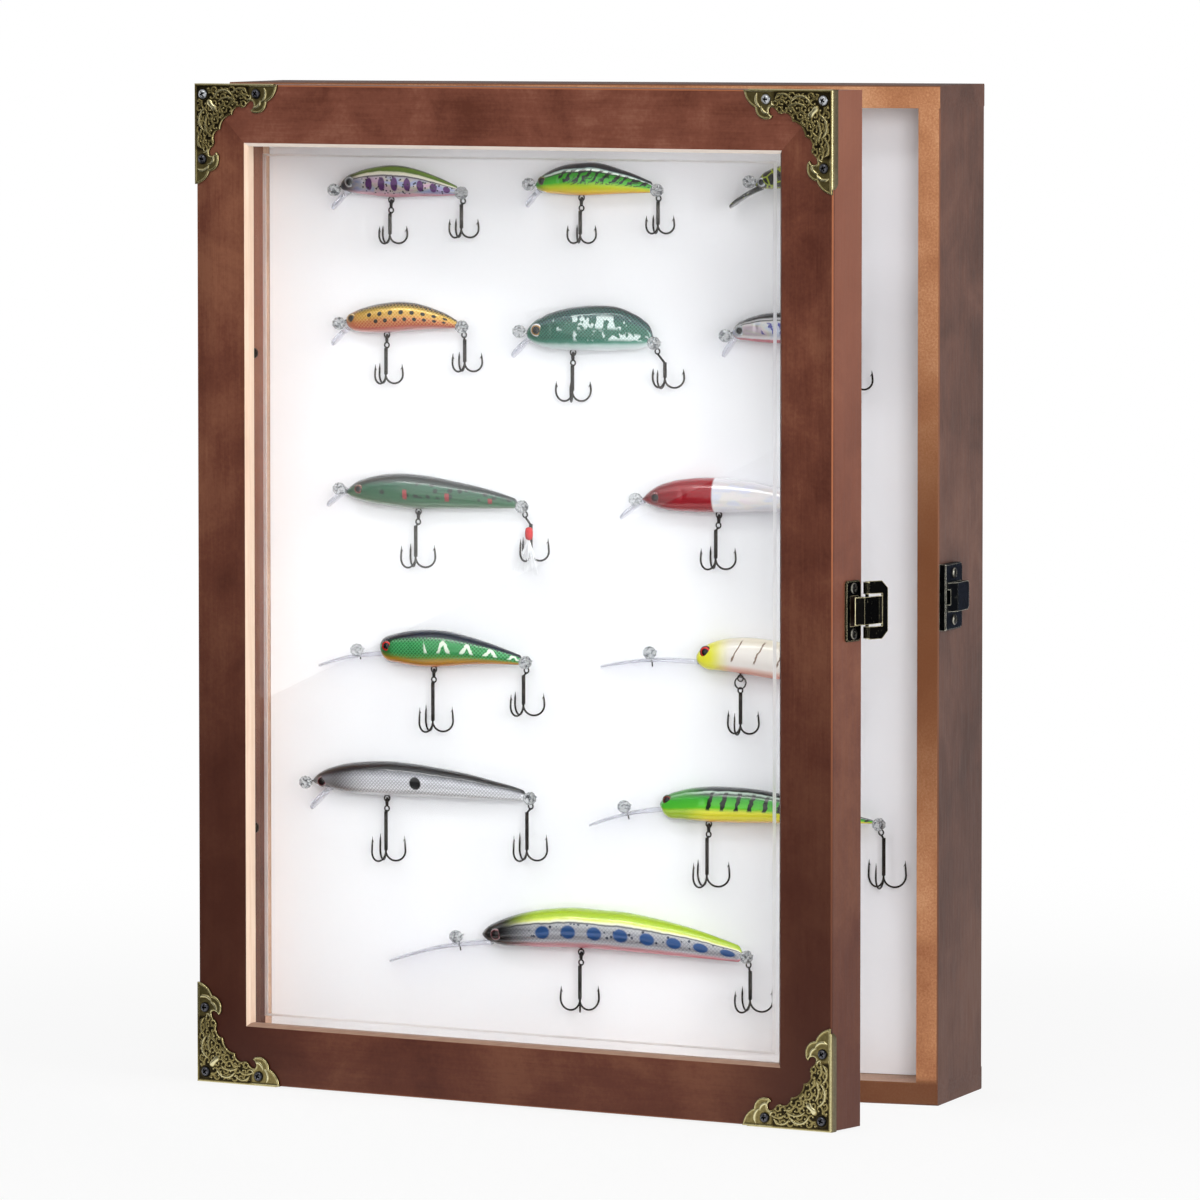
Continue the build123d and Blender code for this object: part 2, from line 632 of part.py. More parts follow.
# ---------------------------------------------------------------- keeper on the case
def keeper():
    """A cast catch plate: two screw tabs, a raised ramp between them and the tooth's window."""
    body = block(0, KEEPER_TAB_T, KEEPER_FRONT, KEEPER_REAR, -KEEPER_HALF, KEEPER_HALF)
    body = fillet(body.edges().filter_by(Axis.X).group_by(Axis.Y)[-1], KEEPER_ROUND)
    body = chamfer(body.faces().sort_by(Axis.X)[-1].edges(), KEEPER_EDGE)
    ramp = [(0, KEEPER_FRONT), (1.4, KEEPER_FRONT), (KEEPER_TOP, 7.5), (KEEPER_TOP, KEEPER_REAR)]
    ramp += [(KEEPER_TAB_T, KEEPER_TAIL), (0, KEEPER_TAIL)]
    centre = prism(ramp, -KEEPER_CHANNEL, KEEPER_CHANNEL)
    start = KEEPER_TAIL - KEEPER_ROUND
    end = KEEPER_TAIL + 0.2
    for sign in (-1, 1):
        cut = [(start, sign * KEEPER_CHANNEL), (end, sign * (KEEPER_CHANNEL - KEEPER_ROUND))]
        cut += [(end, sign * (KEEPER_CHANNEL + 1)), (start, sign * (KEEPER_CHANNEL + 1))]
        centre -= extrude(Plane.YZ * make_face(Polyline(*cut, close=True)), 12)
    body += centre
    near, far = KEEPER_WINDOW
    body -= block(0.5, 9, near, far, -KEEPER_WINDOW_HALF, KEEPER_WINDOW_HALF)
    for z in (-KEEPER_SCREW_Z, KEEPER_SCREW_Z):
        body -= Pos(0, KEEPER_SCREW_S, z) * Rot(0, 90, 0) * bore(SCREW_BORE)
    return body


def keeper_screws():
    screw = round_screw(*KEEPER_SCREW)
    seat = SIDE + KEEPER_TAB_T
    heights = (-KEEPER_SCREW_Z, KEEPER_SCREW_Z)
    return group(Location((seat, FRONT + KEEPER_SCREW_S, LATCH_Z + z), FACE_RIGHT) * screw for z in heights)


# ---------------------------------------------------------------- lures
# Each lure: nose and tail (x, z), rise above and drop below the line between them, thickness, where
# along it the body is deepest, how blunt its nose is, the centre of its nose ring and the end of its lip.
# Then its two hooks: ring x and z, foot x and z, reach of a bend, turn of the first bend in degrees.
LURES = {
    "lure_silver_minnow": (
        (-108.8, 363.8), (-58.0, 362.0), 9.4, 3.8, 9.0, 0.44, 0.2, (-110.9, 362.2), (-112.6, 354.4),
        ((-86.9, 357.4, -87.2, 340.7, 7.2, 14), (-55.8, 361.4, -56.1, 343.4, 7.2, 8)),
    ),
    "lure_green_shiner": (
        (-24.6, 364.6), (25.4, 364.0), 9.8, 3.8, 9.0, 0.44, 0.25, (-26.8, 365.2), (-28.6, 356.0),
        ((-5.0, 359.0, -5.0, 341.7, 6.8, 0), (27.8, 363.2, 28.0, 345.9, 6.8, 5)),
    ),
    "lure_black_crackle": (
        (69.2, 365.2), (103.4, 366.0), 8.4, 0.9, 9.4, 0.42, 0.3, (67.0, 367.0), (58.1, 356.6),
        ((88.0, 363.0, 88.0, 346.0, 7.0, 10), (105.6, 365.4, 105.2, 348.0, 6.8, 8)),
    ),
    "lure_gold_trout": (
        (-106.4, 309.2), (-58.0, 308.0), 8.6, 4.4, 9.4, 0.45, 0.25, (-108.8, 308.0), (-112.6, 299.2),
        ((-88.8, 302.6, -89.0, 283.8, 7.0, 12), (-55.6, 307.2, -54.7, 289.2, 7.3, 8)),
    ),
    "lure_humpback": (
        (-28.2, 305.0), (24.4, 303.0), 12.6, 5.6, 11.0, 0.55, 0.3, (-30.6, 305.8), (-34.2, 295.3),
        ((-8.3, 296.6, -8.4, 277.8, 8.2, 164), (26.9, 301.8, 30.8, 283.8, 7.9, 27)),
    ),
    "lure_red_belly": (
        (59.2, 306.4), (108.0, 303.6), 9.2, 3.6, 9.4, 0.46, 0.25, (57.0, 305.2), (55.4, 296.8),
        ((87.6, 299.8, 87.6, 280.0, 7.2, 10), (110.6, 302.6, 110.8, 284.4, 7.2, 8)),
    ),
    "lure_feather_tail": (
        (-106.2, 239.2), (-32.4, 235.6), 9.0, 4.8, 10.6, 0.34, 0.2, (-108.6, 240.6), (-114.4, 233.4),
        ((-75.0, 231.0, -75.6, 209.3, 8.3, 5), (-29.6, 234.8, -26.5, 212.9, 7.4, 15)),
    ),
    "lure_red_head": (
        (21.6, 238.9), (102.0, 235.0), 10.6, 3.4, 11.4, 0.36, 0.2, (19.2, 238.8), (12.2, 230.8),
        ((53.9, 232.2, 53.1, 211.4, 8.4, 3), (104.8, 234.4, 105.0, 213.0, 8.2, 8)),
    ),
    "lure_orange_belly": (
        (-91.8, 175.6), (-30.4, 172.4), 8.9, 6.0, 10.6, 0.34, 0.5, (-101.0, 174.9), (-118.4, 168.0),
        ((-68.4, 166.8, -68.4, 142.5, 8.4, 10), (-28.2, 171.6, -29.3, 150.1, 8.6, 13)),
    ),
    "lure_chartreuse_head": (
        (44.3, 175.0), (102.6, 172.0), 9.7, 5.6, 11.0, 0.42, 0.5, (25.2, 177.0), (3.6, 170.7),
        ((63.0, 166.6, 63.0, 145.0, 7.6, 30), (105.0, 171.2, 105.0, 149.0, 7.4, 10)),
    ),
    "lure_silver_scale": (
        (-121.0, 120.9), (-28.6, 116.8), 10.1, 3.9, 11.0, 0.34, 0.2, (-123.4, 120.2), (-121.8, 109.4),
        ((-88.8, 113.6, -88.8, 89.1, 8.2, 7), (-26.2, 116.4, -27.8, 91.1, 8.4, 10)),
    ),
    "lure_barred_minnow": (
        (28.9, 115.5), (119.4, 111.2), 9.5, 4.8, 11.2, 0.34, 0.45, (14.4, 114.4), (-1.2, 106.1),
        ((49.7, 107.4, 49.4, 83.1, 9.2, 12), (121.8, 110.4, 123.1, 85.0, 9.2, 28)),
    ),
    "lure_long_minnow": (
        (-47.2, 60.6), (64.1, 56.0), 12.9, 4.0, 12.4, 0.38, 0.4, (-57.8, 59.2), (-87.2, 48.0),
        ((-4.6, 53.6, -4.8, 30.8, 9.0, 170), (66.6, 55.2, 68.0, 33.2, 9.4, 8)),
    ),
}


def body_share(share, deepest, blunt):
    """How full the body is along its length: its nose, its deepest place and a narrow tail."""
    if share < deepest:
        return blunt + (1 - blunt) * math.sqrt(1 - (1 - share / deepest) ** 2)
    run = (share - deepest) / (1 - deepest)
    return TAIL_SHARE + (1 - TAIL_SHARE) * math.cos(run * math.pi / 2)


def lure_body(nose, tail, rise, drop, thick, deepest, blunt, y):
    """Flat facets between many-sided ovals, each set between the back and the belly."""
    turns = [2 * math.pi * (i + 0.5) / BODY_SIDES for i in range(BODY_SIDES)]
    rings = []
    for share in BODY_STATIONS:
        full = body_share(share, deepest, blunt)
        x = nose[0] + share * (tail[0] - nose[0])
        z = nose[1] + share * (tail[1] - nose[1]) + full * (rise - drop) / 2
        wide = full * thick / 2
        high = full * (rise + drop) / 2
        rings.append([(x, y + wide * math.cos(turn), z + high * math.sin(turn)) for turn in turns])
    return facets(rings)


def eye(x, y, z):
    """A small wire ring that faces the front."""
    ring = RegularPolygon(EYE_R, EYE_SIDES) - RegularPolygon(EYE_R - EYE_WIRE, EYE_SIDES)
    return Pos(x, y, z) * Rot(90, 0, 0) * extrude(ring, EYE_WIRE / 2, both=True)


def treble(ring_x, ring_z, foot_x, foot_z, reach, turn, y):
    """A ring and the treble hook below it, leaning out where a bend would meet the board."""
    turns = [math.radians(turn + step) for step in (0, 120, 240)]
    widest = reach * max(math.sin(angle) for angle in turns)
    foot_y = min(y, BOARD_FRONT - BODY_GAP - HOOK_R - widest)
    bend = reach / 2
    low = foot_z + bend
    hook = eye(ring_x, y, ring_z)
    shank = [(ring_x, y, ring_z - EYE_R + EYE_WIRE / 2), (foot_x, foot_y, low)]
    hook += wire(shank, HOOK_R, (1, 0, 0))
    tip = foot_z + POINT_RISE * (ring_z - foot_z)
    for angle in turns:
        out = (math.cos(angle), math.sin(angle))
        run = [(0, low + 0.6)]
        for step in range(BEND_STEPS + 1):
            along = math.pi * (1 + step / BEND_STEPS)
            run.append((bend + bend * math.cos(along), low + bend * math.sin(along)))
        run.append((reach, tip))
        points = [(foot_x + r * out[0], foot_y + r * out[1], z) for r, z in run]
        hook += wire(points, HOOK_R, (-out[1], out[0], 0))
    return hook


def lip(root, end, y, root_w, end_w):
    """A thin clear diving lip, wider at its far end."""
    dx = end[0] - root[0]
    dz = end[1] - root[1]
    length = math.hypot(dx, dz)
    along = Vector(dx, 0, dz) / length
    frame = Plane(origin=(root[0], y, root[1]), x_dir=along, z_dir=Vector(0, 1, 0).cross(along))
    half = end_w / 2
    shoulder = length - half / 2
    corners = [(shoulder, half), (-LIP_ROOT, root_w / 2), (-LIP_ROOT, -root_w / 2), (shoulder, -half)]
    outline = [Line(a, b) for a, b in zip(corners, corners[1:])]
    outline.append(ThreePointArc((shoulder, -half), (length, 0), (shoulder, half)))
    return frame * extrude(chords(outline, 5), LIP_T / 2, both=True)


def lure(spec):
    """One lure: its body, nose ring, lip and treble hooks, joined as they are on the real one."""
    nose, tail, rise, drop, thick, deepest, blunt, tie, lip_end, hooks = spec
    y = BOARD_FRONT - thick / 2 - BODY_GAP
    body = lure_body(nose, tail, rise, drop, thick, deepest, blunt, y)
    root = (nose[0] + 2.5, nose[1] - 0.6 * drop)
    body += lip(root, lip_end, y, 0.4 * thick, 0.9 * thick)
    body += eye(tie[0], y, tie[1])
    link = [(nose[0] + 1.5, y, nose[1]), (tie[0] + EYE_R - EYE_WIRE / 2, y, tie[1])]
    body += wire(link, LINK_R, (0, 1, 0))
    for ring_x, ring_z, foot_x, foot_z, reach, turn in hooks:
        body += treble(ring_x, ring_z, foot_x, foot_z, reach, turn, y)
    belly, rear = hooks
    hanger = [(belly[0], y, belly[1] + EYE_R - EYE_WIRE), (belly[0], y, belly[1] + EYE_R + 2.4)]
    body += wire(hanger, LINK_R, (0, 1, 0))
    stem = [(tail[0] - 1.5, y, tail[1]), (rear[0] - EYE_R + EYE_WIRE / 2, y, rear[1])]
    body += wire(stem, LINK_R, (0, 1, 0))
    return body


def ring_places(spec):
    """The centres of the nose ring and the tail ring, which the pins stand in."""
    tie, rear = spec[7], spec[9][1]
    y = BOARD_FRONT - spec[4] / 2 - BODY_GAP
    return [(tie[0], y, tie[1]), (rear[0], y, rear[1])]


def lure_pins():
    """Clear pins: a cut, round head in front of each ring and a shank through it into the board."""
    pins = []
    rim = PIN_HEAD_T - PIN_CUT
    for spec in LURES.values():
        for x, y, z in ring_places(spec):
            seat = y - PIN_STAND
            length = BOARD_FRONT + PIN_DRIVEN - seat
            pin = turned([(PIN_SHANK_R, -length), (PIN_SHANK_R, 0)], SHANK_SIDES)
            head = [(PIN_HEAD_R, 0), (PIN_HEAD_R, rim), (PIN_HEAD_R - PIN_CUT, PIN_HEAD_T)]
            pin += turned(head, PIN_SIDES)
            pins.append(Location((x, seat, z), FACE_FRONT) * pin)
    return group(pins)


# ---------------------------------------------------------------- build
def build_case():
    left = case_side(-1)
    for seat in hinge_recess(FRONT - 1, FRONT + HINGE_LEAF_T):
        left -= seat
    save("case_left_side", left)
    save("case_right_side", case_side(1))
    save("case_bottom", case_cap(0, WALL))
    save("case_top", case_cap(HEIGHT - WALL, HEIGHT))
    save("board_battens", board_battens())
    save("display_board", display_board())
    save("back_panel", back_panel())
    save("back_panel_screws", back_panel_screws())
    save("wall_hangers", wall_hangers())
    save("hanger_nails", hanger_nails())
    save("keeper", Pos(SIDE, FRONT, LATCH_Z) * keeper())
    save("keeper_screws", keeper_screws())
    for name, spec in LURES.items():
        save(name, lure(spec))
    save("lure_pins", lure_pins())


def build_hinges():
    case_leaves, door_leaves, pins, case_screws, door_screws = hinge_set()
    save("hinge_case_leaves", group(case_leaves))
    save("hinge_pins", group(pins))
    save("hinge_case_screws", group(case_screws))
    save("hinge_door_leaves", swing(group(door_leaves)))
    save("hinge_door_screws", swing(group(door_screws)))


def build_door():
    left, right, top, bottom = door_members()
    for seat in hinge_recess(DOOR_BACK - HINGE_LEAF_T, DOOR_BACK + 1):
        left -= seat
    save("door_left_stile", swing(left))
    save("door_right_stile", swing(right))
    save("door_top_rail", swing(top))
    save("door_bottom_rail", swing(bottom))
    save("glass_pane", swing(glass_pane()))
    save("glass_points", swing(glass_points()))
    for name, piece in corner_pieces():
        save(name, swing(piece))
    save("corner_screws", swing(corner_screws()))


def build_latch():
    save("latch_base", swing(at_latch(latch_base())))
    save("latch_screws", swing(latch_screws()))
    save("latch_pin", swing(at_latch(latch_pin())))
    save("latch_spring", swing(at_latch(latch_spring())))
    save("latch_lever", swing(at_latch(latch_lever())))


build_case()
build_hinges()
build_door()
build_latch()
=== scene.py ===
import json
import math

import bmesh
import bpy
import numpy as np
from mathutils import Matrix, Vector


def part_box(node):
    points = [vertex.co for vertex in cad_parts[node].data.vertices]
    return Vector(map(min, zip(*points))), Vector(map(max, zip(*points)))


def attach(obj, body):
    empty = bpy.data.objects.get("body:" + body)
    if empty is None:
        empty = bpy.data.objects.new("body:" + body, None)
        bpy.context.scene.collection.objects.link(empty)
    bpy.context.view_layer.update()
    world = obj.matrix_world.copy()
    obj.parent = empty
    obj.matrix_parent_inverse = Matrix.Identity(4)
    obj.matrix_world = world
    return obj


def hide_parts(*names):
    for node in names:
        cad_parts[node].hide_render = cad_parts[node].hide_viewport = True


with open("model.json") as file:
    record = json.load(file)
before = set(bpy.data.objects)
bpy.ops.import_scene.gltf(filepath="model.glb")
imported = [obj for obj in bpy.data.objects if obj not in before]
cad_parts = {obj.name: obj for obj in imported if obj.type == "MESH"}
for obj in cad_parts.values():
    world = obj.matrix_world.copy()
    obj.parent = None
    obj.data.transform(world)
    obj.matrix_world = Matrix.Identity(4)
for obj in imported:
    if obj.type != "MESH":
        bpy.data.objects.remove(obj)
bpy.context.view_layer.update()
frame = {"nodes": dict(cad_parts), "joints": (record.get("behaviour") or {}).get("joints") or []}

# A fishing lure display case with its door a little open. Everything is in metres, in the frame's own axes.
MM = 0.001

# ---------------------------------------------------------------- sizes taken from the frame
NODES = frame["nodes"]
JOINTS = {joint["name"]: joint for joint in frame["joints"]}
CASE_LOW, CASE_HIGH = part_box("case_bottom")[0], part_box("case_top")[1]
SIDE = CASE_HIGH.x
FRONT = CASE_LOW.y
HEIGHT = CASE_HIGH.z
BOARD_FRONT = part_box("display_board")[0].y
PANEL_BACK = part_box("back_panel")[1].y
HINGE = np.array(JOINTS["door_swing"]["pos_m"])
OPEN_TURN = math.radians(JOINTS["door_swing"]["range_deg"][0])
LATCH_Z = HINGE[2]

# ---------------------------------------------------------------- sizes of the finishing pieces
DOOR_FRONT = FRONT - 23 * MM
FLANGE = 0.6 * MM
FACE_EDGE = 23.45 * MM  # from the door's side to the inner edge of its flat face
CASE_WALL = 8.9 * MM  # just short of the case boards' 9 mm
FOG_LINE = (121.7 * MM, 174.6 * MM)  # how far from the door's middle the frosted line's outer edge lies
DOOR_LOW, DOOR_HIGH = FLANGE, HEIGHT - FLANGE
# carries the swung door back to shut, with the middle of its front face at the origin
BACK = np.array([math.cos(OPEN_TURN) * HINGE[0] + math.sin(OPEN_TURN) * HINGE[1],
                 -math.sin(OPEN_TURN) * HINGE[0] + math.cos(OPEN_TURN) * HINGE[1]])
DOOR_MIDDLE = (HINGE[0] - BACK[0], HINGE[1] - BACK[1] - DOOR_FRONT, -HEIGHT / 2)

CORNER_REACH = 40.3
CORNER_T = 0.9
CORNER_SCREWS = ((3.9, 3.9), (30.1, 3.6), (3.6, 30.1))
# the bright corner screws: the side, the end and which of the three
SHINY_SCREWS = {(-1, 1, 0), (1, 1, 0), (1, 1, 1)}

# millimetres: between a lure and the board, the hook wire's radius, and the gap between nose and tie that means a bill
BODY_GAP = 0.3
SPRING_WIRE = 0.25 * MM
WIRE_R = 0.4
LONG_TIE = 6

WHITE = (1.0, 1.0, 1.0, 1.0)


# ---------------------------------------------------------------- surfaces
class Surface:
    """Points and faces of one piece, gathered from grids, with a pattern place (two numbers) for each point."""

    def __init__(self):
        self.points, self.faces, self.pattern, self.slots = [], [], [], []
        self.count = 0

    def grid(self, points, pattern=None, around=True, caps=True, slot=0):
        """Rows by columns of points. Each quad joins four neighbours; around joins the last column to the first."""
        rows, columns = points.shape[:2]
        index = self.count + np.arange(rows * columns).reshape(rows, columns)
        if around:
            index = np.hstack([index, index[:, :1]])
        corners = [index[:-1, :-1], index[:-1, 1:], index[1:, 1:], index[1:, :-1]]
        quads = np.stack(corners, axis=-1).reshape(-1, 4)
        self.faces += quads.tolist()
        self.slots += [slot] * len(quads)
        if caps and around:
            self.faces += [index[0, :-1].tolist(), index[-1, -2::-1].tolist()]
            self.slots += [slot] * 2
        self.points.append(points.reshape(-1, 3))
        if pattern is None:
            pattern = np.zeros((rows, columns, 2))
        self.pattern.append(np.asarray(pattern).reshape(-1, 2))
        self.count += rows * columns
        return self

    def build(self, name, materials, body, slot, nodes=(), smooth=True):
        """Makes the mesh, merges its doubles, turns its faces outwards and lets it ride on a body."""
        mesh = bpy.data.meshes.new(name)
        mesh.from_pydata(np.concatenate(self.points).tolist(), [], self.faces)
        mesh.materials.clear()
        for material in materials:
            mesh.materials.append(material)
        mesh.polygons.foreach_set("material_index", np.array(self.slots, dtype=np.int32))
        corner = np.zeros(len(mesh.loops), dtype=np.int32)
        mesh.loops.foreach_get("vertex_index", corner)
        layer = mesh.uv_layers.new(name="pattern")
        layer.data.foreach_set("uv", np.concatenate(self.pattern)[corner].astype(np.float32).ravel())
        work = bmesh.new()
        work.from_mesh(mesh)
        bmesh.ops.remove_doubles(work, verts=work.verts, dist=1e-7)
        bmesh.ops.dissolve_degenerate(work, dist=1e-8, edges=work.edges)
        bmesh.ops.recalc_face_normals(work, faces=work.faces)
        work.to_mesh(mesh)
        work.free()
        mesh.polygons.foreach_set("use_smooth", np.full(len(mesh.polygons), smooth))
        piece = bpy.data.objects.new(name, mesh)
        bpy.context.scene.collection.objects.link(piece)
        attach(piece, body)
        if nodes:
            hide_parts(*nodes)
        return piece


def unit(vectors):
    """Each vector divided by its own length."""
    vectors = np.asarray(vectors, float)
    return vectors / np.maximum(np.linalg.norm(vectors, axis=-1, keepdims=True), 1e-12)


def rings(centre, across, up, wide, high, sides, power=2.0):
    """Ovals round a path: centre + across * wide * cos(turn)^(2/power) + up * high * sin(turn)^(2/power), with the
    signs kept."""
    turn = np.linspace(0, 2 * np.pi, sides, endpoint=False)
    c = np.sign(np.cos(turn)) * np.abs(np.cos(turn)) ** (2 / power)
    s = np.sign(np.sin(turn)) * np.abs(np.sin(turn)) ** (2 / power)
    centre = np.asarray(centre, float)
    wide = np.broadcast_to(wide, len(centre))
    high = np.broadcast_to(high, len(centre))
    across = np.broadcast_to(across, centre.shape)
    up = np.broadcast_to(up, centre.shape)
    side = (wide[:, None] * c)[..., None] * across[:, None, :]
    lift = (high[:, None] * s)[..., None] * up[:, None, :]
    return centre[:, None, :] + side + lift


def tube(path, radius, normal, sides=8):
    """Round rings along a path: one axis is the normal made square to the path, the other is square to both."""
    path = np.asarray(path, float)
    run = unit(np.gradient(path, axis=0))
    normal = np.broadcast_to(normal, path.shape)
    first = unit(normal - (normal * run).sum(1, keepdims=True) * run)
    second = np.cross(run, first)
    return rings(path, first, second, radius, radius, sides)


def hoop(centre, radius, axis, turns=1.0, rise=0.0, steps=28):
    """A circle or coil: centre + radius * (cos, sin) in the plane square to the axis, rising evenly along it."""
    axis = unit(axis)
    side = unit(np.cross(axis, (0.13, 0.29, 0.95)))
    other = np.cross(axis, side)
    count = int(steps * turns)
    turn = 2 * np.pi * turns * np.linspace(0, 1, count + 1)
    lift = rise * np.linspace(-0.5, 0.5, count + 1)
    return (np.asarray(centre, float) + radius * (np.cos(turn)[:, None] * side + np.sin(turn)[:, None] * other)
            + lift[:, None] * axis)


def on_door(points):
    """Turns points of the shut door about the hinge axis to the door's resting angle."""
    c, s = math.cos(OPEN_TURN), math.sin(OPEN_TURN)
    points = np.asarray(points, float)
    x = points[..., 0] - HINGE[0]
    y = points[..., 1] - HINGE[1]
    return np.stack([HINGE[0] + x * c - y * s, HINGE[1] + x * s + y * c, points[..., 2]], axis=-1)


def smooth_step(low, high, value):
    """0 below low, 1 above high and an S-shaped curve between."""
    t = np.clip((value - low) / (high - low), 0, 1)
    return t * t * (3 - 2 * t)


# ---------------------------------------------------------------- materials
GRAIN = 0.16
CASE_STAIN = ("4c332b", "5e4036", "704f42")
DOOR_STAIN = ("52281c", "693a2a", "80503a")
# The top rail's stain is paler than the rest of the door: painted light, as if lit from above.
TOP_RAIL_PAINTED_LIGHT_STAIN = ("5a2e20", "744232", "8c5c49")


class Recipe:
    """One material: a Principled shader, and short calls that add nodes and join them to it."""

    def __init__(self, name):
        self.material = bpy.data.materials.new(name)
        self.material.use_nodes = True
        self.tree = self.material.node_tree
        self.shader = self.tree.nodes["Principled BSDF"]
        self.output = self.tree.nodes["Material Output"]

    def add(self, kind, inputs, **settings):
        """Adds a node. An input is a value or another node's socket."""
        node = self.tree.nodes.new(kind)
        for key, value in settings.items():
            setattr(node, key, value)
        for key, value in inputs.items():
            self.put(node.inputs[key], value)
        return node

    def put(self, socket, value):
        if isinstance(value, bpy.types.NodeSocket):
            self.tree.links.new(value, socket)
        else:
            socket.default_value = value

    def shade(self, **inputs):
        """Sets or links the shader's sockets, written with underscores for spaces."""
        for key, value in inputs.items():
            self.put(self.shader.inputs[key.replace("_", " ")], value)
        return self.material

    def show(self, share, first, second):
        """Shows a mix of two shaders."""
        blend = self.add("ShaderNodeMixShader", {0: share, 1: first.outputs[0], 2: second.outputs[0]})
        self.put(self.output.inputs["Surface"], blend.outputs[0])

    def place(self, scale=(1, 1, 1), turn=(0, 0, 0), shift=(0, 0, 0)):
        """The piece's own coordinates in metres, moved, turned back and then stretched."""
        coords = self.add("ShaderNodeTexCoord", {})
        size = [1 / max(value, 1e-3) for value in scale]
        return self.add("ShaderNodeMapping", {
            "Vector": coords.outputs["Object"], "Scale": size, "Rotation": turn, "Location": shift},
            vector_type="TEXTURE").outputs[0]

    def parts(self, vector):
        """The x, y and z of a vector."""
        return self.add("ShaderNodeSeparateXYZ", {"Vector": vector}).outputs

    def pattern(self):
        """The two numbers of the piece's pattern layer."""
        along, height, _ = self.parts(self.add("ShaderNodeUVMap", {}, uv_map="pattern").outputs[0])
        return along, height

    def noise(self, vector, scale, detail=3.0, roughness=0.55, warp=0.0):
        return self.add("ShaderNodeTexNoise", {
            "Vector": vector, "Scale": scale, "Detail": detail, "Roughness": roughness,
            "Distortion": warp}).outputs[0]

    def cells(self, vector, scale, feature="F1", spread=1.0):
        return self.add("ShaderNodeTexVoronoi", {"Vector": vector, "Scale": scale, "Randomness": spread},
                        feature=feature).outputs["Distance"]

    def maths(self, operation, a, b=0.0, c=0.0):
        return self.add("ShaderNodeMath", {0: a, 1: b, 2: c}, operation=operation).outputs[0]

    def plus(self, a, b):
        return self.maths("ADD", a, b)

    def minus(self, a, b):
        return self.maths("SUBTRACT", a, b)

    def times(self, a, b):
        return self.maths("MULTIPLY", a, b)

    def larger(self, a, b):
        return self.maths("MAXIMUM", a, b)

    def size(self, a):
        return self.maths("ABSOLUTE", a)

    def vary(self, value, noise, amount):
        """A value moved up and down by a noise, round the noise's middle."""
        return self.plus(value, self.times(self.minus(noise, 0.5), amount))

    def both(self, one, other):
        """Half of one number plus half of another."""
        return self.plus(self.times(one, 0.5), self.times(other, 0.5))

    def span(self, value, low, high, out_low=0.0, out_high=1.0):
        """A value's range turned smoothly into another one."""
        return self.add("ShaderNodeMapRange", {
            "Value": value, "From Min": low, "From Max": high, "To Min": out_low, "To Max": out_high},
            interpolation_type="SMOOTHSTEP").outputs[0]

    def mix(self, share, a, b, blend="MIX"):
        node = self.tree.nodes.new("ShaderNodeMix")
        node.data_type = "RGBA"
        node.blend_type = blend
        for socket, value in ((node.inputs[0], share), (node.inputs[6], a), (node.inputs[7], b)):
            self.put(socket, value)
        return node.outputs[2]

    def ramp(self, value, stops):
        """A colour for each place between 0 and 1."""
        node = self.add("ShaderNodeValToRGB", {"Fac": value})
        band = node.color_ramp
        while len(band.elements) < len(stops):
            band.elements.new(0.5)
        for element, (place, colour) in zip(band.elements, stops):
            element.position = place
            element.color = colour
        return node.outputs[0]

    def bump(self, height, strength, depth, normal=None):
        inputs = {"Height": height, "Strength": strength, "Distance": depth}
        if normal is not None:
            inputs["Normal"] = normal
        return self.add("ShaderNodeBump", inputs).outputs[0]

    def facing(self, turn=0.0):
        """The three sizes of the surface's own direction, along the frame's axes turned about z."""
        coords = self.add("ShaderNodeTexCoord", {})
        turned = self.add("ShaderNodeMapping", {"Vector": coords.outputs["Normal"], "Rotation": (0, 0, -turn)})
        size = self.add("ShaderNodeVectorMath", {0: turned.outputs[0]}, operation="ABSOLUTE")
        return self.parts(size.outputs[0])

    def arris(self, turn=0.0):
        """1 on rounded and chamfered arrises: no size of the surface's direction is near 1."""
        x, y, z = self.facing(turn)
        return self.span(self.larger(x, self.larger(y, z)), 0.9, 0.985, 1.0, 0.0)

    def on_shut_door(self):
        """The place on the door as if it were shut, from the middle of its front face."""
        coords = self.add("ShaderNodeTexCoord", {})
        return self.parts(self.add("ShaderNodeMapping", {
            "Vector": coords.outputs["Object"], "Rotation": (0, 0, -OPEN_TURN), "Location": DOOR_MIDDLE}).outputs[0])

    def edges(self, radius, low=0.02, high=0.25):
        """Near 1 at a piece's edges: how far the rounded normal leaves the true one."""
        rounded = self.add("ShaderNodeBevel", {"Radius": radius}, samples=6)
        true = self.add("ShaderNodeNewGeometry", {})
        both = {0: rounded.outputs[0], 1: true.outputs["Normal"]}
        dot = self.add("ShaderNodeVectorMath", both, operation="DOT_PRODUCT")
        return self.span(self.minus(1.0, dot.outputs["Value"]), low, high)


def rgb(code):
    """A screen colour, written as six hexadecimal digits, in linear light."""
    parts = [int(code[i:i + 2], 16) / 255 for i in (0, 2, 4)]
    return tuple([p / 12.92 if p <= 0.04045 else ((p + 0.055) / 1.055) ** 2.4 for p in parts] + [1.0])


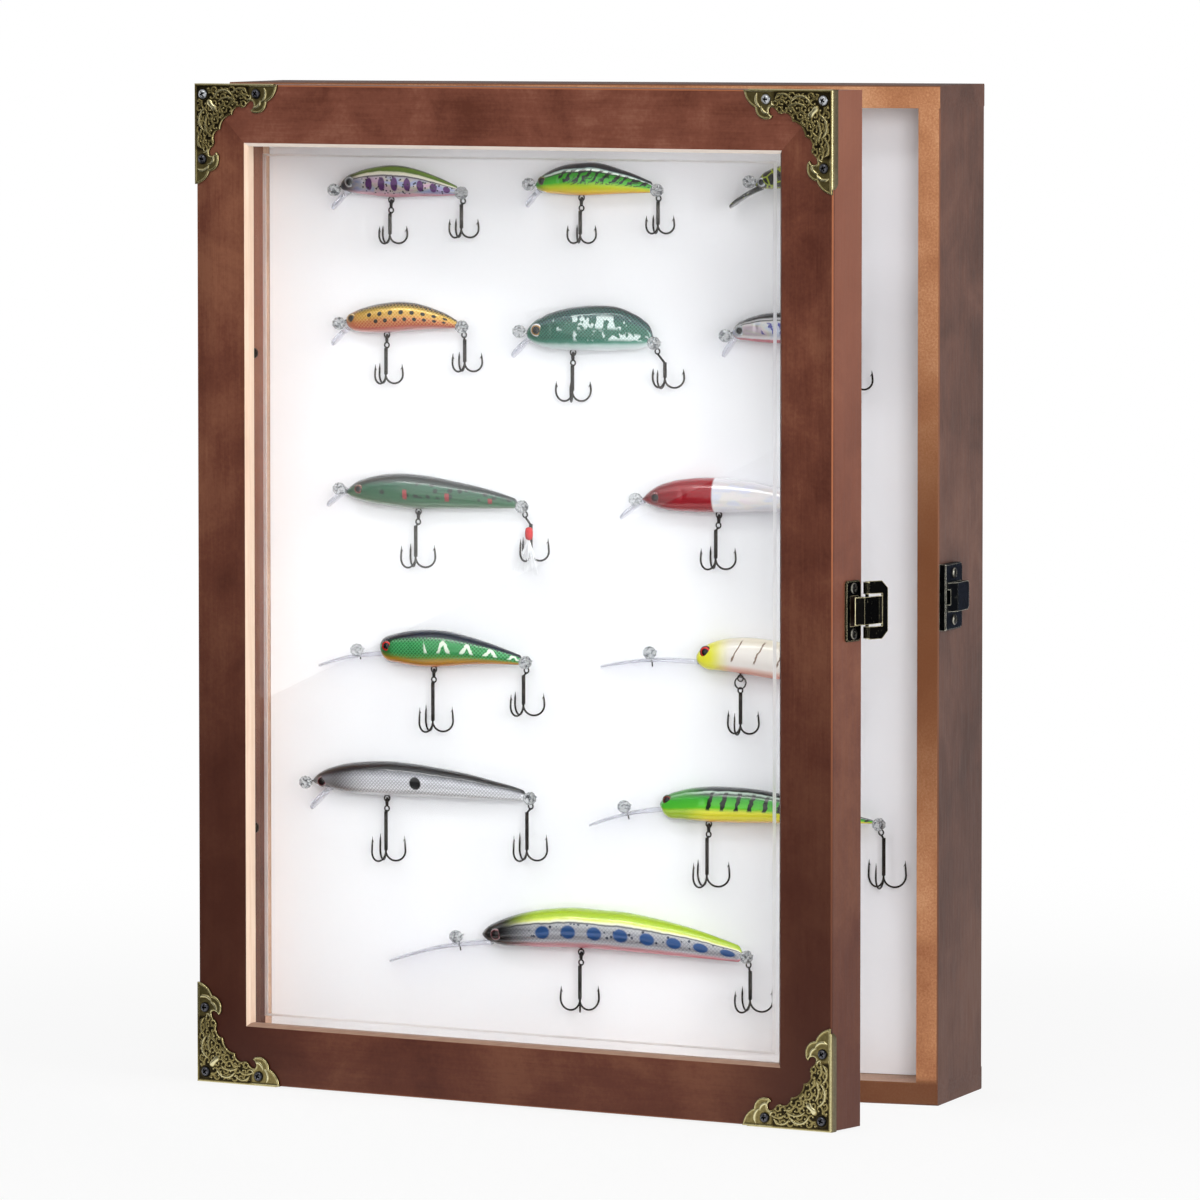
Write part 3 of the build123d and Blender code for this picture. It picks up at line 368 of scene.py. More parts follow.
def wood(name, stain, stretch, turn=0.0, edge="a8684a", edge_share=0.8, shift=(0, 0, 0)):
    """Stained pine: soft clouds of stain, a short fine grain with open pores, and thinner stain on the arrises. Gives
    the recipe, colour, gloss and relief. The stain is three colours, from dark to pale."""
    r = Recipe(name)
    dark, mid, pale = [rgb(code) for code in stain]
    along = r.place(scale=stretch, turn=(0, 0, turn), shift=shift)
    free = r.place(turn=(0, 0, turn))
    fine = r.noise(along, 1100, 5, 0.7)
    streak = r.noise(along, 320, 3, 0.6)
    pores = r.span(r.noise(along, 2400, 2, 0.5), 0.58, 0.74)
    blotch = r.noise(free, 34, 4, 0.6, 0.5)
    slow = r.noise(free, 11, 2, 0.5)
    speck = r.noise(free, 620, 3, 0.7)
    tone = r.vary(r.vary(r.vary(r.both(blotch, slow), fine, GRAIN), streak, GRAIN * 0.8), speck, GRAIN)
    colour = r.ramp(tone, [(0.36, dark), (0.5, mid), (0.64, pale)])
    colour = r.mix(r.times(pores, 0.22), colour, dark)
    colour = r.mix(r.times(r.arris(turn), edge_share), colour, rgb(edge))
    gloss = r.span(fine, 0.3, 0.7, 0.4, 0.56)
    relief = r.plus(r.times(fine, 0.6), r.times(pores, -0.5))
    return r, colour, gloss, r.bump(relief, 0.2, 0.12 * MM)


def finished(r, colour, gloss, relief, coat=0.08, mirror=0.2):
    """Joins a wood recipe to its shader under a thin satin lacquer."""
    return r.shade(Base_Color=colour, Roughness=gloss, Normal=relief, Coat_Weight=coat, Coat_Roughness=0.3,
                   Specular_IOR_Level=mirror)


def case_wood(name, stretch, **settings):
    """Case wood: a speckled orange front rim, darker in the middle of its height by painted shade, tan inner faces,
    and darker, greyer outer faces, which painted shade darkens further towards the bottom.
    """
    r, colour, gloss, relief = wood(name, CASE_STAIN, stretch, edge="8a5c42", edge_share=0.6, **settings)
    _, front, _ = r.facing()
    place = r.place()
    x, _, z = r.parts(place)
    tone = r.both(r.noise(place, 1100, 4, 0.75), r.noise(place, 38, 3))
    rim = r.ramp(tone, [(0.34, rgb("905c40")), (0.5, rgb("b07a56")), (0.66, rgb("ce9c76"))])
    # Painted shade: the rim darkens towards the middle of its height.
    from_middle = r.size(r.minus(z, 0.2))
    rim = r.mix(r.span(from_middle, 0.02, 0.13, 0.92, 0.0), rim, rgb("6c4129"))
    rim = r.mix(r.span(z, 0.008, 0.012, 0.87, 0.0), rim, rgb("603a28"))
    soft = 0.1 * MM
    within = r.span(r.size(x), SIDE - CASE_WALL, SIDE - CASE_WALL + soft, 1.0, 0.0)
    above = r.span(z, CASE_WALL - soft, CASE_WALL)
    below = r.span(z, HEIGHT - CASE_WALL, HEIGHT - CASE_WALL + soft, 1.0, 0.0)
    tan = r.ramp(tone, [(0.34, rgb("a27e6a")), (0.52, rgb("c09c85")), (0.68, rgb("d2b09a"))])
    colour = r.mix(r.times(within, r.times(above, below)), colour, tan)
    # Painted shade: the outer faces darken towards the bottom.
    lower_painted_shade = r.span(z, 0.02, 0.34, 0.45, 0.0)
    colour = r.mix(r.times(lower_painted_shade, r.minus(1.0, within)), colour, rgb("3c261f"))
    return finished(r, r.mix(r.span(front, 0.9, 0.99), colour, rim), gloss, relief, 0.03, 0.08)


def door_wood(name, stain, stretch, inner, sight_painted_light_dark, sight_painted_light_pale, shift):
    """Door wood: painted shade darkens the stiles towards the bottom, the door's outer edges and its lowest strip; the
    side faces carry painted light towards the top and painted shade lower down; the sight chamfer and lip carry
    painted light, pale on three sides and dark on the right stile; and painted shade makes the wood near black
    behind the latch plate's slot."""
    r, colour, gloss, relief = wood(name, stain, stretch, OPEN_TURN, edge="a8643e", edge_share=0.85, shift=shift)
    x, y, z = r.on_shut_door()
    # Painted shade: the stiles darken towards the bottom and the door's outer edges darken, less so on the faces off
    # the front.
    side = r.span(r.size(x), 0.085, 0.137, 0.0, 1.0)
    lower_painted_shade = r.span(z, -0.17, 0.13, 1.0, 0.0)
    edge = r.span(r.size(x), 0.138, 0.1505, 0.0, 0.25)
    front_only = r.span(y, 0.5 * MM, 2.0 * MM, 1.0, 0.45)
    door_painted_shade = r.times(r.larger(r.times(side, lower_painted_shade), edge), front_only)
    colour = r.mix(r.times(door_painted_shade, 0.95), colour, r.mix(0.9, colour, rgb("3a190f")))
    # Painted light: the faces off the front plane lighten towards the top.
    off_front = r.span(y, 0.5 * MM, 2.0 * MM)
    colour = r.mix(r.times(off_front, r.span(z, -0.12, 0.2, 0.0, 0.7)), colour, rgb("845240"))
    # Painted shade: the door's lowest strip darkens, and the faces off the front plane darken lower down.
    colour = r.mix(r.span(z, -0.19, -0.16, 0.42, 0.0), colour, rgb("46231a"))
    colour = r.mix(r.times(r.span(z, -0.17, 0.05, 0.35, 0.0), off_front), colour, rgb("45241a"))
    # Painted shade: the wood behind the latch plate's slot is made near black.
    depth = r.size(r.minus(y, 14.5 * MM))
    level = r.size(r.minus(z, LATCH_Z - HEIGHT / 2))
    slot = r.times(r.span(depth, 2.8 * MM, 2.9 * MM, 1.0, 0.0), r.span(level, 5.8 * MM, 5.9 * MM, 1.0, 0.0))
    slot = r.times(slot, r.span(x, 0.149, 0.1495))
    colour = r.mix(r.times(slot, 0.94), colour, rgb("0c0806"))
    # Painted light on the sight chamfer and lip, two colours mixed by the grain: pale on the left stile and both
    # rails, dark on the right stile.
    across = r.size(x if inner == "X" else z)
    reach = (SIDE if inner == "X" else (DOOR_HIGH - DOOR_LOW) / 2) - FACE_EDGE
    near = r.span(across, reach, reach + 0.02 * MM, 1.0, 0.0)
    front = r.span(y, 4.9 * MM, 5.0 * MM, 1.0, 0.0)
    grain = r.noise(r.place(scale=stretch), 900, 3)
    colour = r.mix(r.times(near, front), colour, r.mix(grain, rgb(sight_painted_light_dark), rgb(sight_painted_light_pale)))
    return finished(r, colour, gloss, relief)


def hardboard():
    """Pressed brown fibre board: a fine felted speckle with a faint pressed screen."""
    r = Recipe("brown_hardboard")
    place = r.place()
    fibre = r.noise(r.place(scale=(1, 1, 0.35)), 1500, 4, 0.7)
    cloud = r.noise(place, 30, 3)
    colour = r.ramp(r.both(fibre, cloud), [(0.3, rgb("5a3c26")), (0.52, rgb("755236")), (0.75, rgb("8f6b49"))])
    return r.shade(Base_Color=colour, Roughness=r.span(fibre, 0.2, 0.8, 0.55, 0.75),
                   Normal=r.bump(fibre, 0.3, 0.2 * MM))


def foam_board():
    """Matt white board with a slight paper tooth."""
    r = Recipe("white_foam_board")
    tooth = r.noise(r.place(), 1400, 3, 0.6)
    cloud = r.noise(r.place(), 14, 2)
    colour = r.ramp(cloud, [(0.3, rgb("f0f0f5")), (0.7, rgb("f5f5f9"))])
    return r.shade(Base_Color=colour, Roughness=r.span(tooth, 0.3, 0.7, 0.6, 0.72),
                   Normal=r.bump(tooth, 0.12, 0.08 * MM))


def antique_brass():
    """Aged brass: dark in the hollows and bright along the ridges, by the piece's own relief."""
    r = Recipe("antique_brass_relief")
    _, relief = r.pattern()
    grime = r.noise(r.place(), 1100, 4, 0.65)
    level = r.vary(relief, grime, 0.35)
    colour = r.ramp(level, [(0.08, rgb("120e08")), (0.3, rgb("3f3620")), (0.52, rgb("71633a")), (0.74, rgb("a89a64")),
                            (0.95, rgb("e8dfb0"))])
    gloss = r.span(level, 0.1, 0.9, 0.46, 0.24)
    return r.shade(Base_Color=colour, Metallic=0.92, Roughness=gloss, Normal=r.bump(grime, 0.18, 0.12 * MM))


def rubbed_bronze(name, dark, bright, wear=0.85):
    """Dark plated metal, rubbed bright on every edge, with a cloudy, faintly scratched face."""
    r = Recipe(name)
    cloud = r.noise(r.place(), 420, 4, 0.65)
    scratch = r.noise(r.place(scale=(1, 1, 0.06)), 2600, 2)
    rub = r.times(r.edges(0.45 * MM, 0.01, 0.16), wear)
    rub = r.larger(rub, r.span(cloud, 0.64, 0.8, 0.0, 0.25))
    colour = r.mix(rub, rgb(dark), rgb(bright))
    return r.shade(Base_Color=colour, Metallic=0.95, Roughness=r.span(cloud, 0.3, 0.75, 0.24, 0.46),
                   Specular_Tint=(0.4, 0.42, 0.46, 1), Normal=r.bump(scratch, 0.08, 0.05 * MM))


def brushed_metal(name, colour, rough=0.3, along=(1, 1, 0.05)):
    """Plain metal with fine brush lines."""
    r = Recipe(name)
    lines = r.noise(r.place(scale=along), 3000, 3, 0.6)
    cloud = r.noise(r.place(), 300, 3)
    tone = r.mix(r.times(cloud, 0.5), rgb(colour), (0.12, 0.1, 0.07, 1))
    return r.shade(Base_Color=tone, Metallic=1.0, Roughness=r.span(lines, 0.3, 0.7, rough - 0.06, rough + 0.1),
                   Normal=r.bump(lines, 0.1, 0.04 * MM))


def screw_look(name, grit, rough, stops):
    """A screw head coloured by its own relief: near 0 in the cross, middling at the rim and high on the dome. The
    colour stops paint shade and highlights from it.
    """
    r = Recipe(name)
    _, relief = r.pattern()
    grime = r.noise(r.place(), 1800, 3)
    colour = r.ramp(r.vary(relief, grime, grit), [(place, rgb(code)) for place, code in stops])
    return r.shade(Base_Color=colour, Metallic=0.9, Roughness=r.span(grime, 0.3, 0.7, *rough),
                   Normal=r.bump(grime, 0.1, 0.05 * MM))


def screw_steel(name, dark, bright):
    """A plain screw head: painted shade makes its cross near black, and a painted highlight lightens its dome's crown.
    """
    return screw_look(name, 0.3, (0.22, 0.36), [(0.15, "08080a"), (0.5, dark), (0.9, bright)])


def dark_screw(name):
    """A near-black screw head with a painted highlight: a pale ring round its rim and round its cross."""
    return screw_look(name, 0.1, (0.26, 0.4), [
        (0.2, "050506"), (0.38, "d4d0c0"), (0.5, "8c8a80"), (0.6, "1c1b1a"), (0.9, "100f0f")])


def let_light_through(r, colour):
    """Joins the shader so that shadow rays pass straight through."""
    clear = r.add("ShaderNodeBsdfTransparent", {"Color": colour})
    shadow = r.add("ShaderNodeLightPath", {}).outputs["Is Shadow Ray"]
    r.show(shadow, r.shader, clear)
    return r.material


def float_glass():
    """Clear glass with a narrow frosted line a little inside the sight edge."""
    r = Recipe("float_glass")
    x, _, z = r.on_shut_door()
    past = r.larger(r.minus(r.size(x), FOG_LINE[0]), r.minus(r.size(z), FOG_LINE[1]))
    line = r.times(r.span(past, -0.9 * MM, -0.8 * MM), r.span(past, -0.1 * MM, 0.0, 1.0, 0.0))
    relief = r.plus(r.times(r.noise(r.place(), 60, 2), 0.05), r.times(line, 0.6))
    colour = (0.985, 0.995, 0.99, 1)
    r.shade(Base_Color=colour, Roughness=r.times(line, 0.55), IOR=1.45, Transmission_Weight=1.0,
            Normal=r.bump(relief, 0.4, 0.05 * MM))
    return let_light_through(r, colour)


def see_through(name, colour, ior, rough, clear_share=1.0, cuts=0):
    """Clear plastic that refracts. Cuts are small facets in the relief; their cells are also coloured white with
    darker borders, a painted sparkle of glints and dark reflections.
    """
    r = Recipe(name)
    wave = r.cells(r.place(), cuts) if cuts else r.noise(r.place(), 60, 2)
    relief = r.bump(wave, 0.9, 0.6 * MM) if cuts else r.bump(wave, 0.02, 0.02 * MM)
    tone = colour
    # Painted glints and dark reflections: white cell middles with grey to dark borders.
    if cuts:
        tone = r.ramp(wave, [(0.0, WHITE), (0.5, rgb("f0f2f4")), (0.68, rgb("9ca0a6")), (0.9, rgb("4c4e52"))])
    r.shade(Base_Color=tone, Roughness=rough, IOR=ior, Transmission_Weight=clear_share, Normal=relief)
    return let_light_through(r, colour)


# ---------------------------------------------------------------- lure paints
class Paint(Recipe):
    """A painted lure. The pattern layer holds the place along the body (0 nose, 1 tail) and its height (0 belly,
    1 back)."""

    def __init__(self, name, bands):
        super().__init__(name)
        self.along, self.height = self.pattern()
        wander = self.noise(self.place(), 170, 2)
        self.level = self.vary(self.height, wander, 0.08)
        self.colour = self.ramp(self.level, [(place, rgb(code)) for place, code in bands])
        self.shine = self.times(wander, 0.0)
        self.relief = self.noise(self.place(), 900, 2)

    def over(self, mask, code, share=1.0):
        """Lays a colour over the paint where the mask is 1."""
        self.colour = self.mix(self.times(mask, share), self.colour, rgb(code))
        return self

    def between(self, value, low, high, soft):
        """1 inside a range, with soft ends."""
        rise = self.span(value, low - soft, low + soft)
        fall = self.span(value, high - soft, high + soft, 1.0, 0.0)
        return self.times(rise, fall)

    def head(self, end, code, soft=0.03, share=1.0):
        """A head colour that ends in a soft upright line."""
        return self.over(self.span(self.along, end - soft, end + soft, 1.0, 0.0), code, share)

    def row(self, count, level, wide, high, code, first=0.0, last=1.0, share=1.0, soft=0.25):
        """Ovals in a row: the distance from the middle of each of count equal lengths."""
        cell = self.maths("FRACT", self.times(self.along, count))
        dx = self.maths("DIVIDE", self.minus(cell, 0.5), wide * count)
        dz = self.maths("DIVIDE", self.minus(self.height, level), high)
        far = self.maths("SQRT", self.plus(self.times(dx, dx), self.times(dz, dz)))
        mask = self.span(far, 1 - soft, 1 + soft, 1.0, 0.0)
        return self.over(self.times(mask, self.between(self.along, first, last, 0.005)), code, share)

    def zone(self, mask, low, high, first, last, soft, end_soft=0.01):
        """The part of a mask between two heights and two places along the body."""
        where = self.times(self.between(self.height, low, high, soft), self.between(self.along, first, last, end_soft))
        return self.times(mask, where)

    def dots(self, scale, size, code, low=0.3, high=0.9, first=0.0, last=1.0, spread=1.0, share=1.0):
        """Small round dots at the middles of scattered cells."""
        far = self.cells(self.place(), scale, spread=spread)
        mask = self.span(far, size * 0.75, size * 1.1, 1.0, 0.0)
        return self.over(self.zone(mask, low, high, first, last, 0.03), code, share)

    def bars(self, count, width, code, low, high, first, last, lean=0.0, ragged=0.03, share=1.0):
        """Upright or leaning bars, count to the body's length, with ragged sides."""
        place = self.plus(self.along, self.times(self.height, lean))
        place = self.vary(place, self.noise(self.place(), 420, 3), ragged * 4)
        cell = self.size(self.minus(self.maths("FRACT", self.times(place, count)), 0.5))
        mask = self.span(cell, width * 0.4, width * 0.6, 1.0, 0.0)
        return self.over(self.zone(mask, low, high, first, last, 0.04), code, share)

    def blots(self, scale, cut, code, low, high, first=0.0, last=1.0, share=1.0):
        """Ragged patches where a noise is above the cut."""
        mask = self.span(self.noise(self.place(scale=(1, 1, 0.7)), scale, 2), cut, cut + 0.04)
        return self.over(self.zone(mask, low, high, first, last, 0.05), code, share)

    def crackle(self, scale, code, width=0.06, share=1.0):
        """Thin lines along the borders of scattered cells."""
        border = self.cells(self.place(), scale, "DISTANCE_TO_EDGE")
        return self.over(self.span(border, width * 0.5, width, 1.0, 0.0), code, share)

    def scales(self, across, code, share=0.5, low=0.2, high=0.95, first=0.1, last=1.0, depth=0.5):
        """A net of scale borders: the crests of two sets of leaning waves, which also raise the surface a little."""
        x, _, z = self.parts(self.place(scale=(1, 0, 1)))
        one = self.maths("COSINE", self.times(self.plus(x, z), across))
        two = self.maths("COSINE", self.times(self.minus(x, z), across))
        mask = self.zone(self.span(self.larger(one, two), 0.35, 0.95), low, high, first, last, 0.06, 0.02)
        self.relief = self.plus(self.relief, self.times(mask, depth))
        return self.over(mask, code, share)

    def foil(self, amount, low=0.15, high=0.8, first=0.0, last=1.0):
        """Where the paint is metal foil."""
        self.shine = self.larger(self.shine, self.zone(amount, low, high, first, last, 0.1, 0.05))
        return self

    def rainbow(self, share, low=0.2, high=0.8, codes=("b9a0d8", "8fb0e0", "e6d9a0", "e8b0c4")):
        """Slow changes of tint along the side."""
        tint = self.ramp(self.noise(self.place(scale=(1, 1, 2.2)), 95, 2, 0.5, 0.8),
                         [(0.3 + 0.13 * i, rgb(code)) for i, code in enumerate(codes)])
        where = self.times(self.between(self.height, low, high, 0.08), share)
        self.colour = self.mix(where, self.colour, tint)
        return self

    def done(self):
        """Joins the paint to the shader under a clear coat."""
        return self.shade(Base_Color=self.colour, Metallic=self.shine, Roughness=0.3,
                          Normal=self.bump(self.relief, 0.14, 0.1 * MM), Coat_Weight=1.0, Coat_Roughness=0.05)


def paint_silver_minnow():
    # The pale band at 0.73 to 0.8 of the height, between the dark line and the green back, is a painted highlight.
    p = Paint("paint_silver_minnow", [
        (0.0, "9c3c54"), (0.09, "c08c9a"), (0.18, "b4aac4"), (0.52, "a398b8"), (0.64, "cfc8d6"), (0.69, "2c2630"),
        (0.73, "f2efe2"), (0.8, "e6e4ca"), (0.84, "55741e"), (0.94, "688c2a"), (1.0, "1c220e")])
    p.rainbow(0.5, 0.15, 0.62).foil(0.5, 0.12, 0.66)
    p.row(9.3, 0.42, 0.029, 0.22, "561a66", 0.22, 0.97, soft=0.14).dots(700, 0.3, "2a2230", 0.1, 0.68, 0.2, 1.0)
    return p.head(0.13, "101114", 0.08, 0.92).done()


def paint_green_shiner():
    # The pale band at 0.77 to 0.82 of the height, just below the dark back, is a painted highlight.
    p = Paint("paint_green_shiner", [
        (0.0, "dc8c14"), (0.12, "e8c818"), (0.28, "c4da1c"), (0.42, "46b820"), (0.68, "2c941c"), (0.73, "14301a"),
        (0.77, "d8ead8"), (0.82, "a8c4c0"), (0.85, "121c28"), (1.0, "0a0d16")])
    p.bars(13, 0.46, "0a1408", 0.42, 0.8, 0.22, 0.98, lean=-0.2, ragged=0.03)
    p.bars(21, 0.26, "0a1408", 0.34, 0.62, 0.3, 0.9, lean=-0.24, ragged=0.03, share=0.9)
    return p.foil(0.15, 0.1, 0.7).head(0.08, "2f8a1c", 0.05, 0.6).done()


def paint_black_crackle():
    p = Paint("paint_black_crackle", [(0.0, "a49424"), (0.12, "1c1a14"), (0.6, "100f0d"), (1.0, "080808")])
    return p.crackle(240, "a2b426", 0.09, 0.95).done()


def paint_gold_trout():
    p = Paint("paint_gold_trout", [
        (0.0, "b08890"), (0.08, "c89088"), (0.2, "cc5a48"), (0.42, "c8642c"), (0.56, "cc9426"), (0.78, "c49c20"),
        (0.86, "7c6c1c"), (0.9, "181410"), (1.0, "100e0c")])
    p.foil(0.4, 0.05, 0.85).scales(4200, "f4cc84", 0.45)
    p.row(10.6, 0.66, 0.02, 0.075, "100c08", 0.2, 0.97, soft=0.12)
    p.row(11.8, 0.42, 0.018, 0.07, "100c08", 0.24, 0.9, soft=0.12)
    return p.head(0.1, "c88454", 0.05, 0.6).done()


def paint_humpback():
    p = Paint("paint_humpback", [
        (0.0, "dfe4e8"), (0.12, "b0c8c4"), (0.2, "3c8470"), (0.3, "145642"), (0.66, "104838"), (0.76, "0e2036"),
        (0.9, "0e1628"), (1.0, "0a0e1c")])
    p.blots(250, 0.53, "dfe9ea", 0.5, 0.78, 0.24, 0.84).blots(290, 0.52, "dfe9ea", 0.24, 0.44, 0.4, 0.97)
    p.scales(4200, "57a08c", 0.45)
    return p.foil(0.25).head(0.1, "2c7a62", 0.05, 0.5).done()


def paint_red_belly():
    # The pale line at 0.8 of the height, between a dark line and the dark back, is a painted highlight.
    p = Paint("paint_red_belly", [
        (0.0, "98202e"), (0.1, "b84454"), (0.15, "dcd8e0"), (0.5, "c8cad4"), (0.72, "dcdce0"), (0.76, "16161c"),
        (0.8, "d8d8dc"), (0.86, "16161c"), (1.0, "101014")])
    p.rainbow(0.3, 0.2, 0.7).foil(0.5, 0.15, 0.72).bars(11, 0.34, "4c4a9a", 0.3, 0.68, 0.28, 0.95, lean=0.1)
    return p.done()


def paint_feather_tail():
    p = Paint("paint_feather_tail", [
        (0.0, "70806c"), (0.2, "3f6e4e"), (0.5, "225a3a"), (0.72, "2e5c48"), (0.82, "343e3c"), (1.0, "24282a")])
    p.dots(330, 0.38, "12241a", 0.34, 0.8, 0.2, 0.98, spread=0.8)
    p.bars(4.1, 0.1, "a02c34", 0.28, 0.56, 0.26, 0.98, ragged=0.0, share=0.9)
    return p.foil(0.15).done()


def paint_red_head():
    p = Paint("paint_red_head", [(0.0, "e4dfe8"), (0.4, "eeecf2"), (0.7, "dcd8e4"), (1.0, "f0eef4")])
    p.rainbow(0.2, 0.1, 0.9).foil(0.15, 0.2, 0.9)
    return p.head(0.385, "960c1c", 0.006, 1.0).head(0.14, "5c060e", 0.1, 0.6).done()


def paint_orange_belly():
    p = Paint("paint_orange_belly", [
        (0.0, "b86018"), (0.14, "b88420"), (0.28, "5c7c28"), (0.38, "1c6c30"), (0.68, "1c7a3c"), (0.78, "14321e"),
        (0.84, "101c30"), (1.0, "0b1224")])
    p.scales(4000, "5cc47c", 0.6, 0.25, 0.8, depth=1.0).foil(0.2)
    p.bars(6.3, 0.16, "e6efe0", 0.4, 0.74, 0.34, 1.0, lean=0.106, ragged=0.012, share=0.95)
    p.bars(6.3, 0.16, "e6efe0", 0.4, 0.74, 0.34, 1.0, lean=-0.106, ragged=0.012, share=0.95)
    return p.done()


def paint_chartreuse_head():
    p = Paint("paint_chartreuse_head", [
        (0.0, "e47c64"), (0.1, "ecb4a4"), (0.24, "ece4e0"), (0.7, "f2ece6"), (1.0, "ece2cc")])
    p.bars(6.27, 0.08, "6c4a2c", 0.34, 0.92, 0.24, 1.0, ragged=0.008, lean=-0.127, share=0.9)
    return p.head(0.2, "e8e424", 0.09, 0.98).done()


def paint_silver_scale():
    p = Paint("paint_silver_scale", [
        (0.0, "c4c4c8"), (0.25, "ececf2"), (0.56, "dcdce4"), (0.68, "a4a4ac"), (0.77, "1c1c22"), (1.0, "0c0c10")])
    p.scales(4200, "3c3c44", 0.5, 0.1, 0.8, depth=1.0).foil(0.2, 0.0, 0.74)
    p.row(1.0, 0.44, 0.026, 0.2, "08080a", 0.4, 0.6, soft=0.15)
    return p.head(0.2, "1e1a1c", 0.1, 0.75).done()


def paint_barred_minnow():
    # The pale line at 0.87 of the height, inside the dark back, is a painted highlight.
    p = Paint("paint_barred_minnow", [
        (0.0, "e09024"), (0.12, "e8dc2c"), (0.32, "e0dc2c"), (0.44, "5cc42c"), (0.7, "2c9c28"), (0.8, "12281a"),
        (0.87, "c8dcd0"), (0.9, "101c1e"), (1.0, "0a1012")])
    p.bars(15.3, 0.3, "0a100a", 0.36, 0.86, 0.22, 0.98, lean=-0.04, ragged=0.008)
    return p.head(0.18, "3aa424", 0.08, 0.6).done()


def paint_long_minnow():
    # The pale band at 0.7 of the height, between the dark line and the chartreuse back, is a painted highlight.
    p = Paint("paint_long_minnow", [
        (0.0, "b8384e"), (0.1, "cc8c98"), (0.2, "b0b0b8"), (0.5, "b4b4bc"), (0.62, "c0c0c4"), (0.66, "30343c"),
        (0.7, "eeeed8"), (0.76, "d8e060"), (0.82, "aac81c"), (1.0, "94b414")])
    p.foil(0.45, 0.14, 0.62).dots(420, 0.28, "222c48", 0.3, 0.64, 0.2, 1.0).scales(4000, "70747c", 0.45, 0.14, 0.62)
    p.row(10.0, 0.42, 0.028, 0.17, "234f8c", 0.2, 1.0, soft=0.16)
    return p.head(0.16, "0c0c0e", 0.08, 1.0).done()


def lure_eye(name, iris, rim="c8ccd0"):
    """A glossy eye: the pattern's first number is the distance from its middle."""
    r = Recipe(name)
    far, _ = r.pattern()
    fleck = r.noise(r.place(), 2600, 2)
    rings = ((0.0, "020203"), (0.56, "020203"), (0.62, iris), (0.76, iris), (0.82, rim), (0.9, rim), (1.0, "0c0c0c"))
    colour = r.ramp(r.vary(far, fleck, 0.05), [(place, rgb(code)) for place, code in rings])
    return r.shade(Base_Color=colour, Metallic=0.3, Roughness=0.25, Normal=r.bump(fleck, 0.05, 0.05 * MM),
                   Coat_Weight=1.0, Coat_Roughness=0.03)


# ---------------------------------------------------------------- lures
class Lure:
    """One lure's sizes in millimetres, in the plane of the board: x to the right and z up. Its back and belly are
    places on the body's upper and lower outlines, from nose to tail. A hook is its ring's place, its foot's place,
    its reach and its turn in degrees."""

    def __init__(self, name, back, belly, thick, tie, lip, hooks, eye, eye_size, iris, paint, rim="c8ccd0", split=1.7):
        self.name = name
        self.back, self.belly = np.array(back), np.array(belly)
        ends = (self.back[[0, -1]] + self.belly[[0, -1]]) / 2
        low, high = min(self.back[0, 0], self.belly[0, 0]), max(self.back[-1, 0], self.belly[-1, 0])
        self.nose, self.tail = np.array([low, ends[0, 1]]), np.array([high, ends[1, 1]])
        self.thick, self.tie, self.hooks = thick, tie, hooks
        self.lip_root, self.lip_end = np.array(lip[0]), np.array(lip[1])
        self.eye, self.eye_size, self.iris, self.rim, self.paint = eye, eye_size, iris, rim, paint
        self.split = split
        self.y = BOARD_FRONT / MM - thick / 2 - BODY_GAP


def curve(x, knots):
    """A smooth line through knots: between two of them, the cubic that has each knot's mean slope at its ends."""
    slope = np.gradient(knots[:, 1], knots[:, 0])
    i = np.clip(np.searchsorted(knots[:, 0], x) - 1, 0, len(knots) - 2)
    wide = knots[i + 1, 0] - knots[i, 0]
    t = np.clip((x - knots[i, 0]) / wide, 0, 1)
    a, b = knots[i, 1], knots[i + 1, 1]
    return (a * (1 - t) ** 2 * (1 + 2 * t) + b * t ** 2 * (3 - 2 * t)
            + wide * t * (1 - t) * ((1 - t) * slope[i] - t * slope[i + 1]))


def round_off(reach, share):
    """A half round's height over its first stretch, and 1 beyond."""
    return np.sqrt(np.clip(1 - (1 - np.clip(share / reach, 0, 1)) ** 2, 0, 1))


def fullness(share, crest, blunt, tail):
    """From 0 at the nose through 1 at the crest to a narrow tail: an ellipse's quarter, then a cosine, with both ends
    rounded off."""
    fore = blunt + (1 - blunt) * np.sqrt(np.clip(1 - (1 - share / crest) ** 2, 0, 1))
    aft = tail + (1 - tail) * np.cos(np.clip((share - crest) / (1 - crest), 0, 1) * np.pi / 2)
    return np.where(share < crest, fore, aft) * round_off(0.035, share) * round_off(0.018, 1 - share)


def section(lure, share):
    """The middle line's x and z, the half height and the half thickness at each place along a lure, with both ends
    rounded off."""
    x = lure.nose[0] + share * (lure.tail[0] - lure.nose[0])
    top, low = curve(x, lure.back), curve(x, lure.belly)
    half_thick = lure.thick / 2 * fullness(share, 0.34, 0.3, 0.24)
    return x, (top + low) / 2, (top - low) / 2 * round_off(0.03, share) * round_off(0.018, 1 - share), half_thick


def body_points(lure, rows=110, columns=56):
    """Superellipses along the middle line, closer together near the ends, with a shallow crease behind the gills."""
    share = 0.5 - 0.5 * np.cos(np.linspace(0, np.pi, rows))
    x, z, high, wide = section(lure, share)
    turn = np.linspace(0, 2 * np.pi, columns, endpoint=False)
    c = np.sign(np.cos(turn)) * np.abs(np.cos(turn)) ** 0.92
    s = np.sin(turn)
    gill = 0.23 - 0.05 * s[None, :] ** 2
    crease = 1 - 0.05 * np.exp(-((share[:, None] - gill) / 0.008) ** 2) * np.clip(1 - np.abs(s[None, :]) * 1.3, 0, 1)
    points = np.stack(np.broadcast_arrays(x[:, None], lure.y + wide[:, None] * c * crease,
                                          z[:, None] + high[:, None] * s), axis=-1)
    pattern = np.stack(np.broadcast_arrays(share[:, None], 0.5 + 0.5 * s[None, :]), axis=-1)
    return points * MM, pattern


